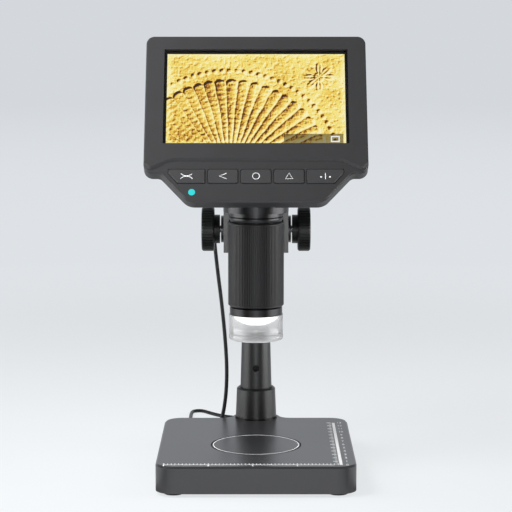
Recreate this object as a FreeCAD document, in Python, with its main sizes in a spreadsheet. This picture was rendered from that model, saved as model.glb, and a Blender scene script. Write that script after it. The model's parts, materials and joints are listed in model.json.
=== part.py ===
import FreeCAD, Part
import math
import os

import Sketcher
from FreeCAD import Placement, Rotation, Vector

# A desk microscope with its own display. A flat base with a round stage carries a column at its
# back edge. A focus block with two knobs climbs a toothed rail in the column, and holds a vertical
# barrel over the stage with a tilted display housing on top. A thin lead hangs from the housing.
#
# Frame: +Z up, the floor at zero, +X to the right and +Y away from the user. The origin is at the
# middle of the footprint of everything but the lead. All sizes are in millimetres.

# Driving sizes, each set once: alias and value.
SIZES = {
    # Clearances
    "seat_gap": 0.1,            # between pieces that are assembled and stay
    "slip_gap": 0.05,           # radial, between pieces that slide or turn in each other
    "open_gap": 0.3,            # between moving pieces that are no fit
    # Base
    "base_width": 104.4,
    "base_depth": 121.1,
    "base_height": 14.3,
    "base_corner": 10.0,
    "base_rim": 1.0,
    "base_wall": 4.4,
    "base_roof": 4.0,
    "foot_height": 1.8,
    "foot_radius": 5.0,
    "foot_sink": 0.5,
    "foot_inset": 9.5,
    "cover_thickness": 2.0,
    "cover_edge": 1.8,
    "cover_screw_spread": 28.0,
    "cover_boss_radius": 3.6,
    "ballast_gap": 0.5,
    "small_screw_radius": 1.2,
    # Stage
    "stage_setback": 51.6,
    "stage_radius": 24.0,
    "stage_thickness": 1.7,
    "stage_gap": 0.4,
    # Column
    "column_overhang": 1.7,
    "bump_radius": 14.5,
    "bump_fillet": 6.0,
    "post_foot_wall": 3.0,
    "post_top_wall": 2.15,
    "post_height": 50.0,
    "post_seat": 10.0,
    "sleeve_height": 17.9,
    "sleeve_foot_wall": 2.7,
    "sleeve_top_wall": 2.05,
    "sleeve_lip": 0.8,
    "sleeve_ring_reach": 0.4,
    "sleeve_ring_height": 0.9,
    "bolt_radius": 3.0,
    "bolt_head_radius": 5.0,
    "bolt_head_height": 6.0,
    "set_screw_height": 30.0,
    "set_screw_radius": 1.8,
    "rod_radius": 6.0,
    "rod_length": 164.0,
    "rack_width": 4.8,
    "rack_slot_depth": 2.7,
    "tooth_module": 0.8,
    "rack_start": 44.0,
    "rack_length": 116.0,
    "rail_cap_radius": 7.5,
    "rail_cap_height": 5.0,
    # Focus block and its drive
    "ring_height_from_floor": 142.9,
    "block_width": 34.8,
    "block_height": 23.0,
    "block_front": 6.0,
    "block_shoulder": 6.0,
    "block_rear_radius": 12.2,
    "grip_room": 0.7,
    "liner_wall": 0.95,
    "liner_inset": 0.5,
    "clamp_screw_inset": 5.0,
    "clamp_screw_reach": 6.0,
    "clamp_screw_seat": 3.0,
    "holder_screw_reach": 8.0,
    "pinion_drop": 16.0,
    "pinion_width": 4.4,
    "shaft_radius": 2.0,
    "bushing_wall": 1.5,
    "bushing_length": 9.0,
    "boss_radius": 7.6,
    "boss_reach": 2.3,
    "hub_radius": 8.1,
    "hub_width": 3.1,
    "knob_radius": 12.45,
    "knob_width": 7.1,
    "knob_gap": 0.7,
    "knob_dish_radius": 9.2,
    "knob_dish_depth": 0.8,
    "rib_depth": 0.55,
    "rib_gap_width": 0.85,
    "knob_screw_radius": 1.3,
    # Barrel
    "ring_thickness": 6.1,
    "ring_radius": 17.4,
    "arm_length": 52.0,
    "tube_radius": 13.1,
    "tube_neck_step": 0.7,
    "tube_wall": 1.4,
    "tube_height": 68.0,
    "collar_radius": 14.35,
    "collar_height": 5.2,
    "grip_radius": 14.9,
    "grip_height": 45.0,
    "front_ring_radius": 14.06,
    "front_ring_height": 4.3,
    "shroud_radius": 14.5,
    "shroud_wall": 1.8,
    "shroud_height": 13.6,
    "shroud_flange": 1.4,
    "diffuser_radius": 12.0,
    "diffuser_eye_radius": 4.0,
    "diffuser_thickness": 3.0,
    "lamp_board_thickness": 1.2,
    "lamp_board_drop": 2.4,
    "lamp_size": 1.6,
    "lamp_circle_radius": 7.6,
    "cell_height": 14.0,
    "cell_wall": 3.4,
    "cell_place": 27.0,
    "front_lens_thickness": 3.0,
    "rear_lens_thickness": 2.4,
    "sensor_board_thickness": 1.6,
    "sensor_size": 8.0,
    "sensor_thickness": 1.2,
    # Display housing, drawn flat and then tilted back
    "tilt": 30.0,
    "joint_forward": 1.937822,
    "joint_height_from_floor": 176.2,
    "screen_width": 95.04,
    "screen_tall": 53.86,
    "housing_half_width": 58.9,
    "housing_top": 63.6,
    "housing_corner": 4.5,
    "housing_shoulder": 17.5,
    "housing_shoulder_radius": 5.0,
    "chin_top_half_width": 50.2,
    "chin_half_width": 35.4,
    "chin_drop": 34.0,
    "chin_corner": 8.0,
    "chin_inner_corner": 4.0,
    "chin_chamfer": 0.8,
    "front_depth": 7.0,
    "front_wall": 1.5,
    "side_wall": 1.8,
    "bezel_proud": 1.4,
    "bezel_rim": 0.8,
    "bezel_root": 1.0,
    "bezel_point_round": 2.0,
    "bezel_foot": 10.4,
    "bezel_foot_half_width": 44.5,
    "bezel_foot_outer": 55.4,
    "bezel_foot_low": 15.9,
    "bezel_side_low": 12.9,
    "bezel_foot_round": 10.0,
    "bezel_step": 1.25,
    "window_half_width": 49.1,
    "window_low": 0.6,
    "window_high": 55.6,
    "window_ledge": 1.1,
    "window_thickness": 0.8,
    "window_sink": 0.2,
    "panel_margin": 3.0,
    "panel_thickness": 2.8,
    "rear_depth": 13.5,
    "rear_inset": 6.4,
    "rear_wall": 1.8,
    "rear_edge": 2.4,
    "rear_corner": 3.0,
    "neck_radius": 16.0,
    "neck_wall": 1.6,
    "neck_reach": 34.0,
    "board_half_width": 40.0,
    "board_low": 8.0,
    "board_high": 46.0,
    "board_depth": 9.5,
    "board_thickness": 1.6,
    "board_post_radius": 2.4,
    "board_post_inset": 4.0,
    "battery_width": 38.0,
    "battery_tall": 30.0,
    "battery_thickness": 5.0,
    "housing_screw_x": 54.2,
    "housing_screw_high": 50.0,
    "housing_screw_low": 6.0,
    "housing_boss_radius": 2.6,
    "housing_pillar_radius": 3.4,
    "housing_pillar_height": 6.0,
    "screw_head_height": 1.6,
    # Buttons
    "button_pitch": 17.3,
    "button_width": 15.7,
    "button_top": 15.0,
    "button_low": 23.5,
    "button_corner": 1.2,
    "button_proud": 0.5,
    "button_gap": 0.3,
    "button_flange": 0.7,
    "button_travel": 0.5,
    "end_button_outer": 46.1,
    "end_button_inner": 26.4,
    "end_button_side": 2.4,
    "end_button_cut": 5.0,
    "button_board_half_width": 39.6,
    "button_board_low": 29.5,
    "board_post_small": 1.4,
    "switch_size": 5.0,
    "switch_height": 1.2,
    "plunger_radius": 1.4,
    "plunger_height": 0.5,
    "lamp_x": 33.5,
    "lamp_low": 28.3,
    "indicator_radius": 1.75,
    # Lead
    "cord_diameter": 2.2,
    "socket_x": 27.0,
    "socket_high": 12.0,
    "socket_width": 9.2,
    "socket_tall": 3.4,
    "socket_wall": 0.3,
    "socket_depth": 7.4,
    "plug_width": 11.0,
    "plug_tall": 6.6,
    "plug_length": 16.0,
    "plug_tongue": 6.0,
    "relief_length": 13.0,
    "relief_radius": 2.4,
    "card_slot_width": 12.4,
    "card_slot_tall": 2.4,
    "coil_radius": 16.5,
    "coil_pitch": 2.65,
    "coil_right": 33.0,
    "coil_back": 16.8,
    "tail_radius": 11.0,
    "end_plug_width": 13.0,
    "end_plug_height": 7.5,
    "end_plug_length": 21.0,
    "end_shell_width": 12.0,
    "end_shell_height": 4.5,
    "end_shell_length": 11.6,
}

COIL_LOOPS = 3
RACK_PRESSURE_ANGLE = 20.0
PINION_TEETH = 16
KNOB_RIBS = 44
LAMP_COUNT = 8
TOOTH_BACKLASH = 0.14

document = FreeCAD.newDocument("display_microscope")
sheet = document.addObject("Spreadsheet::Sheet", "sizes")
for row, (alias, value) in enumerate(SIZES.items(), start=1):
    sheet.set(f"A{row}", alias.replace("_", " "))
    sheet.set(f"B{row}", str(value))
    sheet.setAlias(f"B{row}", alias)
document.recompute()

finished = {}


class Size:
    """A size of the sheet, or one worked out from others: its value and its expression."""

    def __init__(self, value, text):
        self.value = float(value)
        self.text = text

    def __add__(self, other):
        other = as_size(other)
        return Size(self.value + other.value, f"({self.text} + {other.text})")

    def __sub__(self, other):
        other = as_size(other)
        return Size(self.value - other.value, f"({self.text} - {other.text})")

    def __mul__(self, factor):
        return Size(self.value * factor, f"({self.text} * {factor})")

    def __truediv__(self, divisor):
        return Size(self.value / divisor, f"({self.text} / {divisor})")

    def __neg__(self):
        return Size(-self.value, f"(0 - {self.text})")

    def __radd__(self, other):
        return as_size(other) + self

    def __rsub__(self, other):
        return as_size(other) - self


def as_size(number):
    """Give a bare number the same form as a size of the sheet."""
    if isinstance(number, Size):
        return number
    return Size(number, f"({float(number)})")


def size(alias):
    """A driving size, by its alias in the sheet."""
    return Size(SIZES[alias], f"sizes.{alias}")


def bind(item, field, number):
    """Bind one field of a document object to an expression over the sheet."""
    item.setExpression(field, as_size(number).text)


class Corner:
    """A corner of an outline, held at its two sizes and rounded to a radius, or sharp."""

    def __init__(self, x, y, radius=None):
        self.x = x
        self.y = y
        self.radius = radius

    def point(self):
        """The sharp corner as a vector."""
        return Vector(as_size(self.x).value, as_size(self.y).value, 0)


class Circle:
    """A round outline for a sketch."""

    def __init__(self, x, y, radius):
        self.x = x
        self.y = y
        self.radius = radius


def rectangle(low_x, low_y, high_x, high_y):
    """The four corners of an upright rectangle."""
    return [(low_x, low_y), (high_x, low_y), (high_x, high_y), (low_x, high_y)]


def mirrored_outline(right_side):
    """A closed outline that is alike left and right, from its right half, bottom to top."""
    left_side = [Corner(-as_size(item.x), item.y, item.radius) for item in reversed(right_side)]
    return list(right_side) + left_side


def rounded(outline, radius):
    """The same outline with every corner rounded."""
    return [Corner(x, y, radius) for x, y in outline]


def point_constraints(geometry, place, x, y):
    """Hold a sketch point at its two sizes, measured from the sketch's origin."""
    held = []
    for kind, axis, number in (("DistanceX", -2, x), ("DistanceY", -1, y)):
        if not isinstance(number, Size) and number == 0:
            held.append((("PointOnObject", geometry, place, axis), None))
            continue
        number = as_size(number)
        held.append(((kind, -1, 1, geometry, place, number.value), number.text))
    return held


def draw_circle(drawing, outline):
    """Draw a circle and list what holds it."""
    middle = Vector(as_size(outline.x).value, as_size(outline.y).value, 0)
    radius = as_size(outline.radius)
    geometry = drawing.addGeometry(Part.Circle(middle, Vector(0, 0, 1), radius.value), False)
    held = point_constraints(geometry, 3, outline.x, outline.y)
    held.append((("Radius", geometry, radius.value), radius.text))
    return held


def draw_corners(drawing, outline):
    """Draw a closed outline of straight sides and rounded corners, and list what holds it."""
    corners = [item if isinstance(item, Corner) else Corner(*item) for item in outline]
    count = len(corners)
    bends = [bend(corners[index - 1], corners[index], corners[(index + 1) % count])
             for index in range(count)]
    lines = []
    for index in range(count):
        start, end = bends[index][1], bends[(index + 1) % count][0]
        lines.append(drawing.addGeometry(Part.LineSegment(start, end), False))
    held = []
    for index, corner in enumerate(corners):
        before, after = lines[index - 1], lines[index]
        if corner.radius is None:
            held.append((("Coincident", before, 2, after, 1), None))
            held.extend(point_constraints(after, 1, corner.x, corner.y))
            continue
        turns_left = bends[index][3]
        arc = drawing.addGeometry(bends[index][2], False)
        first, last = (1, 2) if turns_left else (2, 1)
        held.append((("Tangent", before, 2, arc, first), None))
        held.append((("Tangent", after, 1, arc, last), None))
        radius = as_size(corner.radius)
        held.append((("Radius", arc, radius.value), radius.text))
        tip = drawing.addGeometry(Part.Point(corner.point()), True)
        held.extend(point_constraints(tip, 1, corner.x, corner.y))
        held.append((("PointOnObject", tip, 1, before), None))
        held.append((("PointOnObject", tip, 1, after), None))
    return held


def draw(drawing, outlines):
    """Draw closed outlines, circles or lists of corners, with every size bound."""
    held = []
    for outline in outlines:
        if isinstance(outline, Circle):
            held.extend(draw_circle(drawing, outline))
        else:
            held.extend(draw_corners(drawing, outline))
    drawing.addConstraint([Sketcher.Constraint(*terms) for terms, text in held])
    for index, (terms, text) in enumerate(held):
        if text:
            drawing.setExpression(f"Constraints[{index}]", text)


def bend(before, corner, after):
    """Where a corner's rounding starts and ends, its arc, and whether it turns left."""
    tip = corner.point()
    if corner.radius is None:
        return tip, tip, None, True
    back = (before.point() - tip).normalize()
    forward = (after.point() - tip).normalize()
    radius = as_size(corner.radius).value
    half = back.getAngle(forward) / 2
    start, end = tip + back * (radius / math.tan(half)), tip + forward * (radius / math.tan(half))
    centre = tip + (back + forward).normalize() * (radius / math.sin(half))
    turns_left = forward.cross(back).z > 0
    first, last = (start, end) if turns_left else (end, start)
    angles = [math.atan2(point.y - centre.y, point.x - centre.x) for point in (first, last)]
    if angles[1] < angles[0]:
        angles[1] += 2 * math.pi
    circle = Part.Circle(centre, Vector(0, 0, 1), radius)
    return start, end, Part.ArcOfCircle(circle, angles[0], angles[1]), turns_left


class Piece:
    """One sub-part as a PartDesign body, built by pads, pockets and turnings along its own Z."""

    def __init__(self, label, whole=True):
        self.body = document.addObject("PartDesign::Body", label)
        self.body.Label = label
        self.count = 0
        if whole:
            finished[label] = self.body

    def sketch(self, role, outlines, height=0):
        """Draw outlines on an origin plane, moved along its normal by height."""
        self.count += 1
        name = f"{self.body.Name}_sketch_{self.count}"
        drawing = self.body.newObject("Sketcher::SketchObject", name)
        plane = next(item for item in self.body.Origin.OriginFeatures if item.Role == role)
        drawing.AttachmentSupport = [(plane, "")]
        drawing.MapMode = "FlatFace"
        bind(drawing, "AttachmentOffset.Base.z", height)
        draw(drawing, outlines)
        return drawing

    def feature(self, kind, drawing):
        """Add a sketch-based feature of the given kind."""
        self.count += 1
        item = self.body.newObject(f"PartDesign::{kind}", f"{self.body.Name}_{kind}_{self.count}")
        item.Profile = drawing
        return item

    def volume(self):
        """The body's volume, after a recompute."""
        document.recompute()
        return self.body.Shape.Volume if self.body.Shape.Solids else 0.0

    def pad(self, outlines, low, high):
        """Add material inside the outlines, from one height to another."""
        before = self.volume()
        item = self.feature("Pad", self.sketch("XY_Plane", outlines, low))
        bind(item, "Length", high - as_size(low))
        if self.volume() <= before:
            raise ValueError(f"{self.body.Label}: a pad added nothing")
        return self

    def cut(self, outlines, low, high):
        """Take material away inside the outlines, from one height to another."""
        before = self.volume()
        item = self.feature("Pocket", self.sketch("XY_Plane", outlines, high))
        bind(item, "Length", as_size(high) - low)
        if self.volume() >= before:
            raise ValueError(f"{self.body.Label}: a pocket cut nothing")
        return self

    def turn(self, profile):
        """Turn a profile of radius and height about the body's Z axis."""
        drawing = self.sketch("XZ_Plane", [profile])
        item = self.feature("Revolution", drawing)
        item.ReferenceAxis = (drawing, ["V_Axis"])
        item.Angle = 360
        document.recompute()
        return self

    def upright_edges(self, places):
        """Names of the upright edges that stand at the given places."""
        wanted = [(as_size(x).value, as_size(y).value) for x, y in places]
        names = []
        for index, edge in enumerate(self.body.Tip.Shape.Edges, start=1):
            start, end = edge.Vertexes[0].Point, edge.Vertexes[-1].Point
            if abs(start.z - end.z) < 0.01 or math.hypot(start.x - end.x, start.y - end.y) > 0.001:
                continue
            if any(math.hypot(start.x - x, start.y - y) < 0.01 for x, y in wanted):
                names.append(f"Edge{index}")
        return names

    def rim_edges(self, height, keep):
        """Names of the level edges at a height whose middle passes the test."""
        level = as_size(height).value
        names = []
        for index, edge in enumerate(self.body.Tip.Shape.Edges, start=1):
            box = edge.BoundBox
            if abs(box.ZMin - level) > 0.001 or abs(box.ZMax - level) > 0.001:
                continue
            middle = edge.valueAt((edge.FirstParameter + edge.LastParameter) / 2)
            if keep(middle):
                names.append(f"Edge{index}")
        return names

    def dress(self, kind, names, field, number):
        """Fillet or chamfer the named edges of the last feature."""
        if not names:
            raise ValueError(f"{self.body.Label}: no edge to dress")
        base = self.body.Tip
        self.count += 1
        item = self.body.newObject(f"PartDesign::{kind}", f"{self.body.Name}_{kind}_{self.count}")
        item.Base = (base, names)
        bind(item, field, number)
        document.recompute()
        return self

    def round_corners(self, places, radius):
        """Round the upright edges at the given places."""
        return self.dress("Fillet", self.upright_edges(places), "Radius", radius)

    def chamfer_rim(self, height, number, keep=lambda middle: True):
        """Chamfer the level edges at a height."""
        return self.dress("Chamfer", self.rim_edges(height, keep), "Size", number)

    def put(self, x=0, y=0, z=0, axis=Vector(0, 0, 1), angle=0):
        """Place the whole body."""
        place(self.body, x, y, z, axis, angle)
        return self


def place(item, x=0, y=0, z=0, axis=Vector(0, 0, 1), angle=0):
    """Give an object its Placement, each part of it bound to the sheet."""
    item.Placement = Placement(Vector(0, 0, 0), Rotation(axis, as_size(angle).value))
    for letter, number in (("x", x), ("y", y), ("z", z)):
        bind(item, f"Placement.Base.{letter}", number)
    if isinstance(angle, Size):
        bind(item, "Placement.Rotation.Angle", angle)
    return item


def cylinder(name, x, y, z, radius, height, axis=Vector(0, 0, 1), angle=0):
    """A plain cylinder from its lower face's centre."""
    item = document.addObject("Part::Cylinder", name)
    bind(item, "Radius", radius)
    bind(item, "Height", height)
    return place(item, x, y, z, axis, angle)


def block(name, low, high):
    """A plain box between two corners."""
    item = document.addObject("Part::Box", name)
    for field, start, end in zip(("Length", "Width", "Height"), low, high):
        bind(item, field, as_size(end) - start)
    return place(item, *low)


def fused(name, items):
    """Several objects joined to one."""
    item = document.addObject("Part::MultiFuse", name)
    item.Shapes = items
    return item


def grouped(name, items):
    """Several separate solids in one object."""
    item = document.addObject("Part::Compound", name)
    item.Links = items
    return item


def cut(name, base, tools):
    """One object with others taken away from it."""
    item = document.addObject("Part::Cut", name)
    item.Base = base
    item.Tool = tools[0] if len(tools) == 1 else fused(f"{name}_tools", tools)
    return item


def finish(label, item):
    """Name a sub-part made of primitives or of a plain shape."""
    item.Label = label
    finished[label] = item
    return item


def shaped(label, shape):
    """A sub-part whose shape is worked out point by point."""
    item = document.addObject("Part::Feature", label)
    item.Shape = shape
    return finish(label, item)


# Places that several sub-parts share.
X_AXIS = Vector(1, 0, 0)
Y_AXIS = Vector(0, 1, 0)

FOOTPRINT = size("base_depth") + size("column_overhang") + size("bump_radius")
BASE_FRONT = -(FOOTPRINT / 2)
BASE_BACK = BASE_FRONT + size("base_depth")
BARREL_Y = BASE_FRONT + size("stage_setback")
COLUMN_Y = BASE_BACK + size("column_overhang")
BASE_TOP = size("foot_height") + size("base_height")
COVER_TOP = size("foot_height") + size("cover_thickness")
BOLT_FOOT = COVER_TOP + size("seat_gap") * 2
POST_TOP = BASE_TOP + size("post_height")
POST_FOOT_RADIUS = size("rod_radius") + size("post_foot_wall")
POST_TOP_RADIUS = size("rod_radius") + size("post_top_wall")
SLEEVE_RADIUS = POST_FOOT_RADIUS + size("sleeve_foot_wall")
ROD_FOOT = BASE_TOP + size("post_seat")
ROD_TOP = ROD_FOOT + size("rod_length")
RING_FOOT = size("ring_height_from_floor")
RING_TOP = RING_FOOT + size("ring_thickness")
BLOCK_FOOT = RING_FOOT - size("block_height")
PINION_Z = RING_FOOT - size("pinion_drop")
PITCH_RADIUS = size("tooth_module") * PINION_TEETH / 2
RACK_TIP_INSET = size("seat_gap")
RACK_PITCH_Y = COLUMN_Y - size("rod_radius") + RACK_TIP_INSET + size("tooth_module")
PINION_Y = RACK_PITCH_Y - PITCH_RADIUS
HALF_BLOCK = size("block_width") / 2
BOSS_END = HALF_BLOCK + size("boss_reach")
HUB_START = BOSS_END + size("knob_gap")
KNOB_START = HUB_START + size("hub_width")
KNOB_END = KNOB_START + size("knob_width")
COLLAR_FOOT = RING_FOOT - size("collar_height")
GRIP_TOP = COLLAR_FOOT - size("open_gap")
GRIP_FOOT = GRIP_TOP - size("grip_height")
FRONT_RING_TOP = GRIP_FOOT - size("open_gap")
FRONT_RING_FOOT = FRONT_RING_TOP - size("front_ring_height")
SHROUD_FOOT = FRONT_RING_FOOT - size("shroud_height")
NECK_RADIUS = size("tube_radius") - size("tube_neck_step")
TUBE_BORE = NECK_RADIUS - size("tube_wall")
LEAN = math.radians(size("tilt").value)
SCREEN_Y = BARREL_Y - size("joint_forward") - size("front_depth") * math.cos(LEAN)
SCREEN_Z = size("joint_height_from_floor") + size("front_depth") * math.sin(LEAN)
HEAD_TILT = 90 - size("tilt")
FLANGE_FRONT = -size("front_wall") - size("seat_gap")
FLANGE_BACK = FLANGE_FRONT - size("button_flange")
STEM_END = FLANGE_BACK - size("seat_gap") * 2
PLUNGER_FRONT = STEM_END - size("button_travel") - size("seat_gap")
SWITCH_BACK = PLUNGER_FRONT - size("plunger_height") - size("switch_height")
BOARD_BACK = -size("board_depth") - size("board_thickness")


def tilted(piece):
    """Stand a piece that was drawn flat, front up, in the display housing."""
    item = piece.body if isinstance(piece, Piece) else piece
    place(item, 0, SCREEN_Y, SCREEN_Z, X_AXIS, HEAD_TILT)
    return piece


def base_corners(inset):
    """The four corners of the base's rectangle, moved inwards."""
    side = size("base_width") / 2 - inset
    return rectangle(-side, BASE_FRONT + inset, side, BASE_BACK - inset)


def foot_places():
    """Centres of the four feet."""
    return base_corners(size("foot_inset"))


def cover_screw_places():
    """Centres of the four screws in the base's cover."""
    spread = size("cover_screw_spread")
    front = BASE_FRONT + size("foot_inset")
    back = BASE_BACK - size("foot_inset")
    return rectangle(-spread, front, spread, back)


def circles(places, radius):
    """One circle at each place."""
    return [Circle(x, y, radius) for x, y in places]


# Base and stage
def make_base_plate():
    """The base: a hollow tray, open below, with a round bump behind for the column."""
    low, high = size("foot_height"), BASE_TOP
    piece = Piece("base_plate")
    piece.pad([rounded(base_corners(0), size("base_corner"))], low, high)
    piece.pad([Circle(0, COLUMN_Y, size("bump_radius"))], low, high)
    reach = math.sqrt(SIZES["bump_radius"] ** 2 - SIZES["column_overhang"] ** 2)
    meeting = [(-reach, BASE_BACK), (reach, BASE_BACK)]
    piece.round_corners(meeting, size("bump_fillet"))
    piece.chamfer_rim(high, size("base_rim"))
    seat = size("stage_radius") + size("stage_gap")
    piece.cut([Circle(0, BARREL_Y, seat)], high - size("stage_thickness"), high)
    seat_edge = size("cover_edge") - size("seat_gap")
    piece.cut([rounded(base_corners(seat_edge), size("base_corner") - seat_edge)], low, COVER_TOP)
    wall = size("base_wall")
    piece.cut([rounded(base_corners(wall), size("base_corner") - wall)], COVER_TOP,
              high - size("base_roof"))
    piece.pad(circles(cover_screw_places(), size("cover_boss_radius")), COVER_TOP,
              high - size("base_roof"))
    piece.cut(circles(cover_screw_places(), size("small_screw_radius") + size("slip_gap")),
              COVER_TOP, high - size("base_roof"))
    shank = size("bolt_radius") + size("seat_gap")
    head = size("bolt_head_radius") + size("seat_gap")
    piece.cut([Circle(0, COLUMN_Y, shank)], low, high)
    piece.cut([Circle(0, COLUMN_Y, head)], low, BOLT_FOOT + size("bolt_head_height"))


def make_base_cover():
    """The flat plate that closes the base from below, with seats for feet and screws."""
    low = size("foot_height")
    edge = size("cover_edge")
    piece = Piece("base_cover")
    piece.pad([rounded(base_corners(edge), size("base_corner") - edge)], low, COVER_TOP)
    piece.cut(circles(foot_places(), size("foot_radius") + size("seat_gap")), low,
              low + size("foot_sink"))
    piece.cut(circles(cover_screw_places(), size("small_screw_radius") + size("seat_gap")), low,
              COVER_TOP)
    piece.cut(circles(cover_screw_places(), size("small_screw_radius") * 2 + size("seat_gap")),
              low, low + size("cover_thickness") / 2)


def make_ballast_plate():
    """The steel plate inside the base that keeps the tall instrument steady."""
    inset = size("base_wall") + size("ballast_gap")
    low, high = COVER_TOP + size("ballast_gap"), BASE_TOP - size("base_roof")
    piece = Piece("ballast_plate")
    piece.pad([rounded(base_corners(inset), size("base_corner") - inset)], low, high)
    piece.cut(circles(cover_screw_places(), size("cover_boss_radius") + size("ballast_gap")),
              low, high)


def make_rubber_feet():
    """Four round feet, pressed a little way into the cover."""
    height = size("foot_height") + size("foot_sink")
    feet = [cylinder(f"foot_{index}", x, y, 0, size("foot_radius"), height)
            for index, (x, y) in enumerate(foot_places())]
    finish("rubber_feet", grouped("rubber_feet", feet))


def upright_screws(label, places, foot, length, head_foot, head_height):
    """Upright screws, one at each place, with the head where it is asked for."""
    radius = size("small_screw_radius")
    screws = []
    for index, (x, y) in enumerate(places):
        head = cylinder(f"{label}_head_{index}", x, y, head_foot, radius * 2, head_height)
        shank = cylinder(f"{label}_shank_{index}", x, y, foot, radius, length)
        screws.append(fused(f"{label}_{index}", [head, shank]))
    return finish(label, grouped(label, screws))


def make_base_screws():
    """Four screws that hold the cover to the base."""
    foot = size("foot_height")
    upright_screws("base_screws", cover_screw_places(), foot,
                   size("base_height") - size("base_roof") - 1, foot,
                   size("cover_thickness") / 2)


def make_stage_insert():
    """The round stage plate, flush in its seat."""
    foot = BASE_TOP - size("stage_thickness")
    piece = Piece("stage_insert")
    piece.pad([Circle(0, BARREL_Y, size("stage_radius"))], foot, BASE_TOP)
    piece.chamfer_rim(BASE_TOP, size("seat_gap") * 3)


# Column and rail
def make_column_post():
    """The post: straight in the sleeve and slender above it, bored for the rail."""
    foot_radius, top_radius = POST_FOOT_RADIUS, POST_TOP_RADIUS
    bore = size("rod_radius") + size("seat_gap")
    thread = size("bolt_radius")
    straight = BASE_TOP + size("sleeve_height")
    profile = [(thread, BASE_TOP), (foot_radius, BASE_TOP), (foot_radius, straight),
               (top_radius, POST_TOP - 1), (top_radius - 1, POST_TOP), (bore, POST_TOP),
               (bore, ROD_FOOT), (thread, ROD_FOOT)]
    post = Piece("post_turned", whole=False).turn(profile)
    post.put(0, COLUMN_Y, 0)
    screw_z = BASE_TOP + size("set_screw_height")
    hole = cylinder("post_hole", 0, COLUMN_Y, screw_z, size("set_screw_radius") + size("seat_gap"),
                    POST_FOOT_RADIUS * 2, X_AXIS, 90)
    finish("column_post", cut("column_post", post.body, [hole]))


def make_column_sleeve():
    """The collar that carries the post's foot, with a rounded lip at its top."""
    bore = POST_FOOT_RADIUS + size("seat_gap")
    foot = BASE_TOP
    top = BASE_TOP + size("sleeve_height")
    lip = size("sleeve_lip")
    ring_top = BASE_TOP + size("sleeve_ring_height")
    outer_foot, outer_top = SLEEVE_RADIUS, POST_FOOT_RADIUS + size("sleeve_top_wall")
    profile = [(bore, foot), (outer_foot - lip, foot), (outer_foot - lip, ring_top),
               (outer_foot, ring_top), (outer_top, top - lip), (outer_top - lip, top),
               (bore + lip, top), (bore, top - lip)]
    Piece("column_sleeve").turn(profile).put(0, COLUMN_Y, 0)
    inner = SLEEVE_RADIUS - lip + size("seat_gap")
    outer = SLEEVE_RADIUS + size("sleeve_ring_reach")
    ring = [(inner, foot), (outer, foot), (outer, ring_top - size("seat_gap")),
            (inner, ring_top - size("seat_gap"))]
    Piece("sleeve_ring").turn(ring).put(0, COLUMN_Y, 0)


def make_column_fasteners():
    """The bolt that holds the post from below, and the set screw that holds the rail."""
    head = cylinder("bolt_head", 0, COLUMN_Y, BOLT_FOOT, size("bolt_head_radius"),
                    size("bolt_head_height"))
    shank_top = ROD_FOOT - size("open_gap")
    shank = cylinder("bolt_shank", 0, COLUMN_Y, BOLT_FOOT, size("bolt_radius") - size("slip_gap"),
                     shank_top - BOLT_FOOT)
    finish("column_bolt", fused("column_bolt", [head, shank]))
    screw_z = BASE_TOP + size("set_screw_height")
    length = POST_TOP_RADIUS - size("rod_radius") - size("seat_gap") * 10
    body = cylinder("set_screw_body", 0, COLUMN_Y - size("rod_radius"), screw_z,
                    size("set_screw_radius"), length, X_AXIS, 90)
    socket = cylinder("set_screw_socket", 0, COLUMN_Y - size("rod_radius") - length / 2, screw_z,
                      size("set_screw_radius") / 2, length, X_AXIS, 90)
    finish("post_set_screw", cut("post_set_screw", body, [socket]))


def make_rail():
    """The round rail with its slot for the rack, and the cap that stops the block."""
    radius = size("rod_radius")
    half_slot = size("rack_width") / 2 + size("seat_gap")
    rod = cylinder("rail_round", 0, COLUMN_Y, ROD_FOOT, radius, size("rod_length"))
    slot = block("rail_slot", (-half_slot, COLUMN_Y - radius * 2, ROD_FOOT + size("rack_start") - 1),
                 (half_slot, COLUMN_Y - radius + size("rack_slot_depth"), ROD_TOP + 1))
    finish("rail_rod", cut("rail_rod", rod, [slot]))
    Piece("rail_cap").pad([Circle(0, COLUMN_Y, size("rail_cap_radius"))], ROD_TOP,
                          ROD_TOP + size("rail_cap_height")).chamfer_rim(
        ROD_TOP + size("rail_cap_height"), 1.2)


def prism(points, along):
    """A straight solid over a closed run of points."""
    wire = Part.makePolygon(points + [points[0]])
    return Part.Face(wire).extrude(along)


def make_focus_rack():
    """The rack: straight teeth in the rail's slot, with a gap facing the pinion at rest."""
    module = SIZES["tooth_module"]
    pitch = math.pi * module
    slope = math.tan(math.radians(RACK_PRESSURE_ANGLE))
    half_tooth = pitch / 4 - TOOTH_BACKLASH / 2
    line = RACK_PITCH_Y.value
    back = (COLUMN_Y - size("rod_radius") + size("rack_slot_depth")).value
    half_tip = half_tooth - module * slope
    half_root = half_tooth + module * slope
    first = ROD_FOOT.value + SIZES["rack_start"]
    last = first + SIZES["rack_length"]
    centre = PINION_Z.value + pitch / 2
    centre -= math.floor((centre - half_root - first) / pitch) * pitch
    width = SIZES["rack_width"]
    points = [Vector(-width / 2, back, first)]
    root_y, tip_y = line + module, line - module
    points.append(Vector(-width / 2, root_y, first))
    while centre + half_root < last:
        for y, z in ((root_y, centre - half_root), (tip_y, centre - half_tip),
                     (tip_y, centre + half_tip), (root_y, centre + half_root)):
            points.append(Vector(-width / 2, y, z))
        centre += pitch
    points.append(Vector(-width / 2, root_y, last))
    points.append(Vector(-width / 2, back, last))
    shaped("focus_rack", prism(points, Vector(width, 0, 0)))


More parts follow.
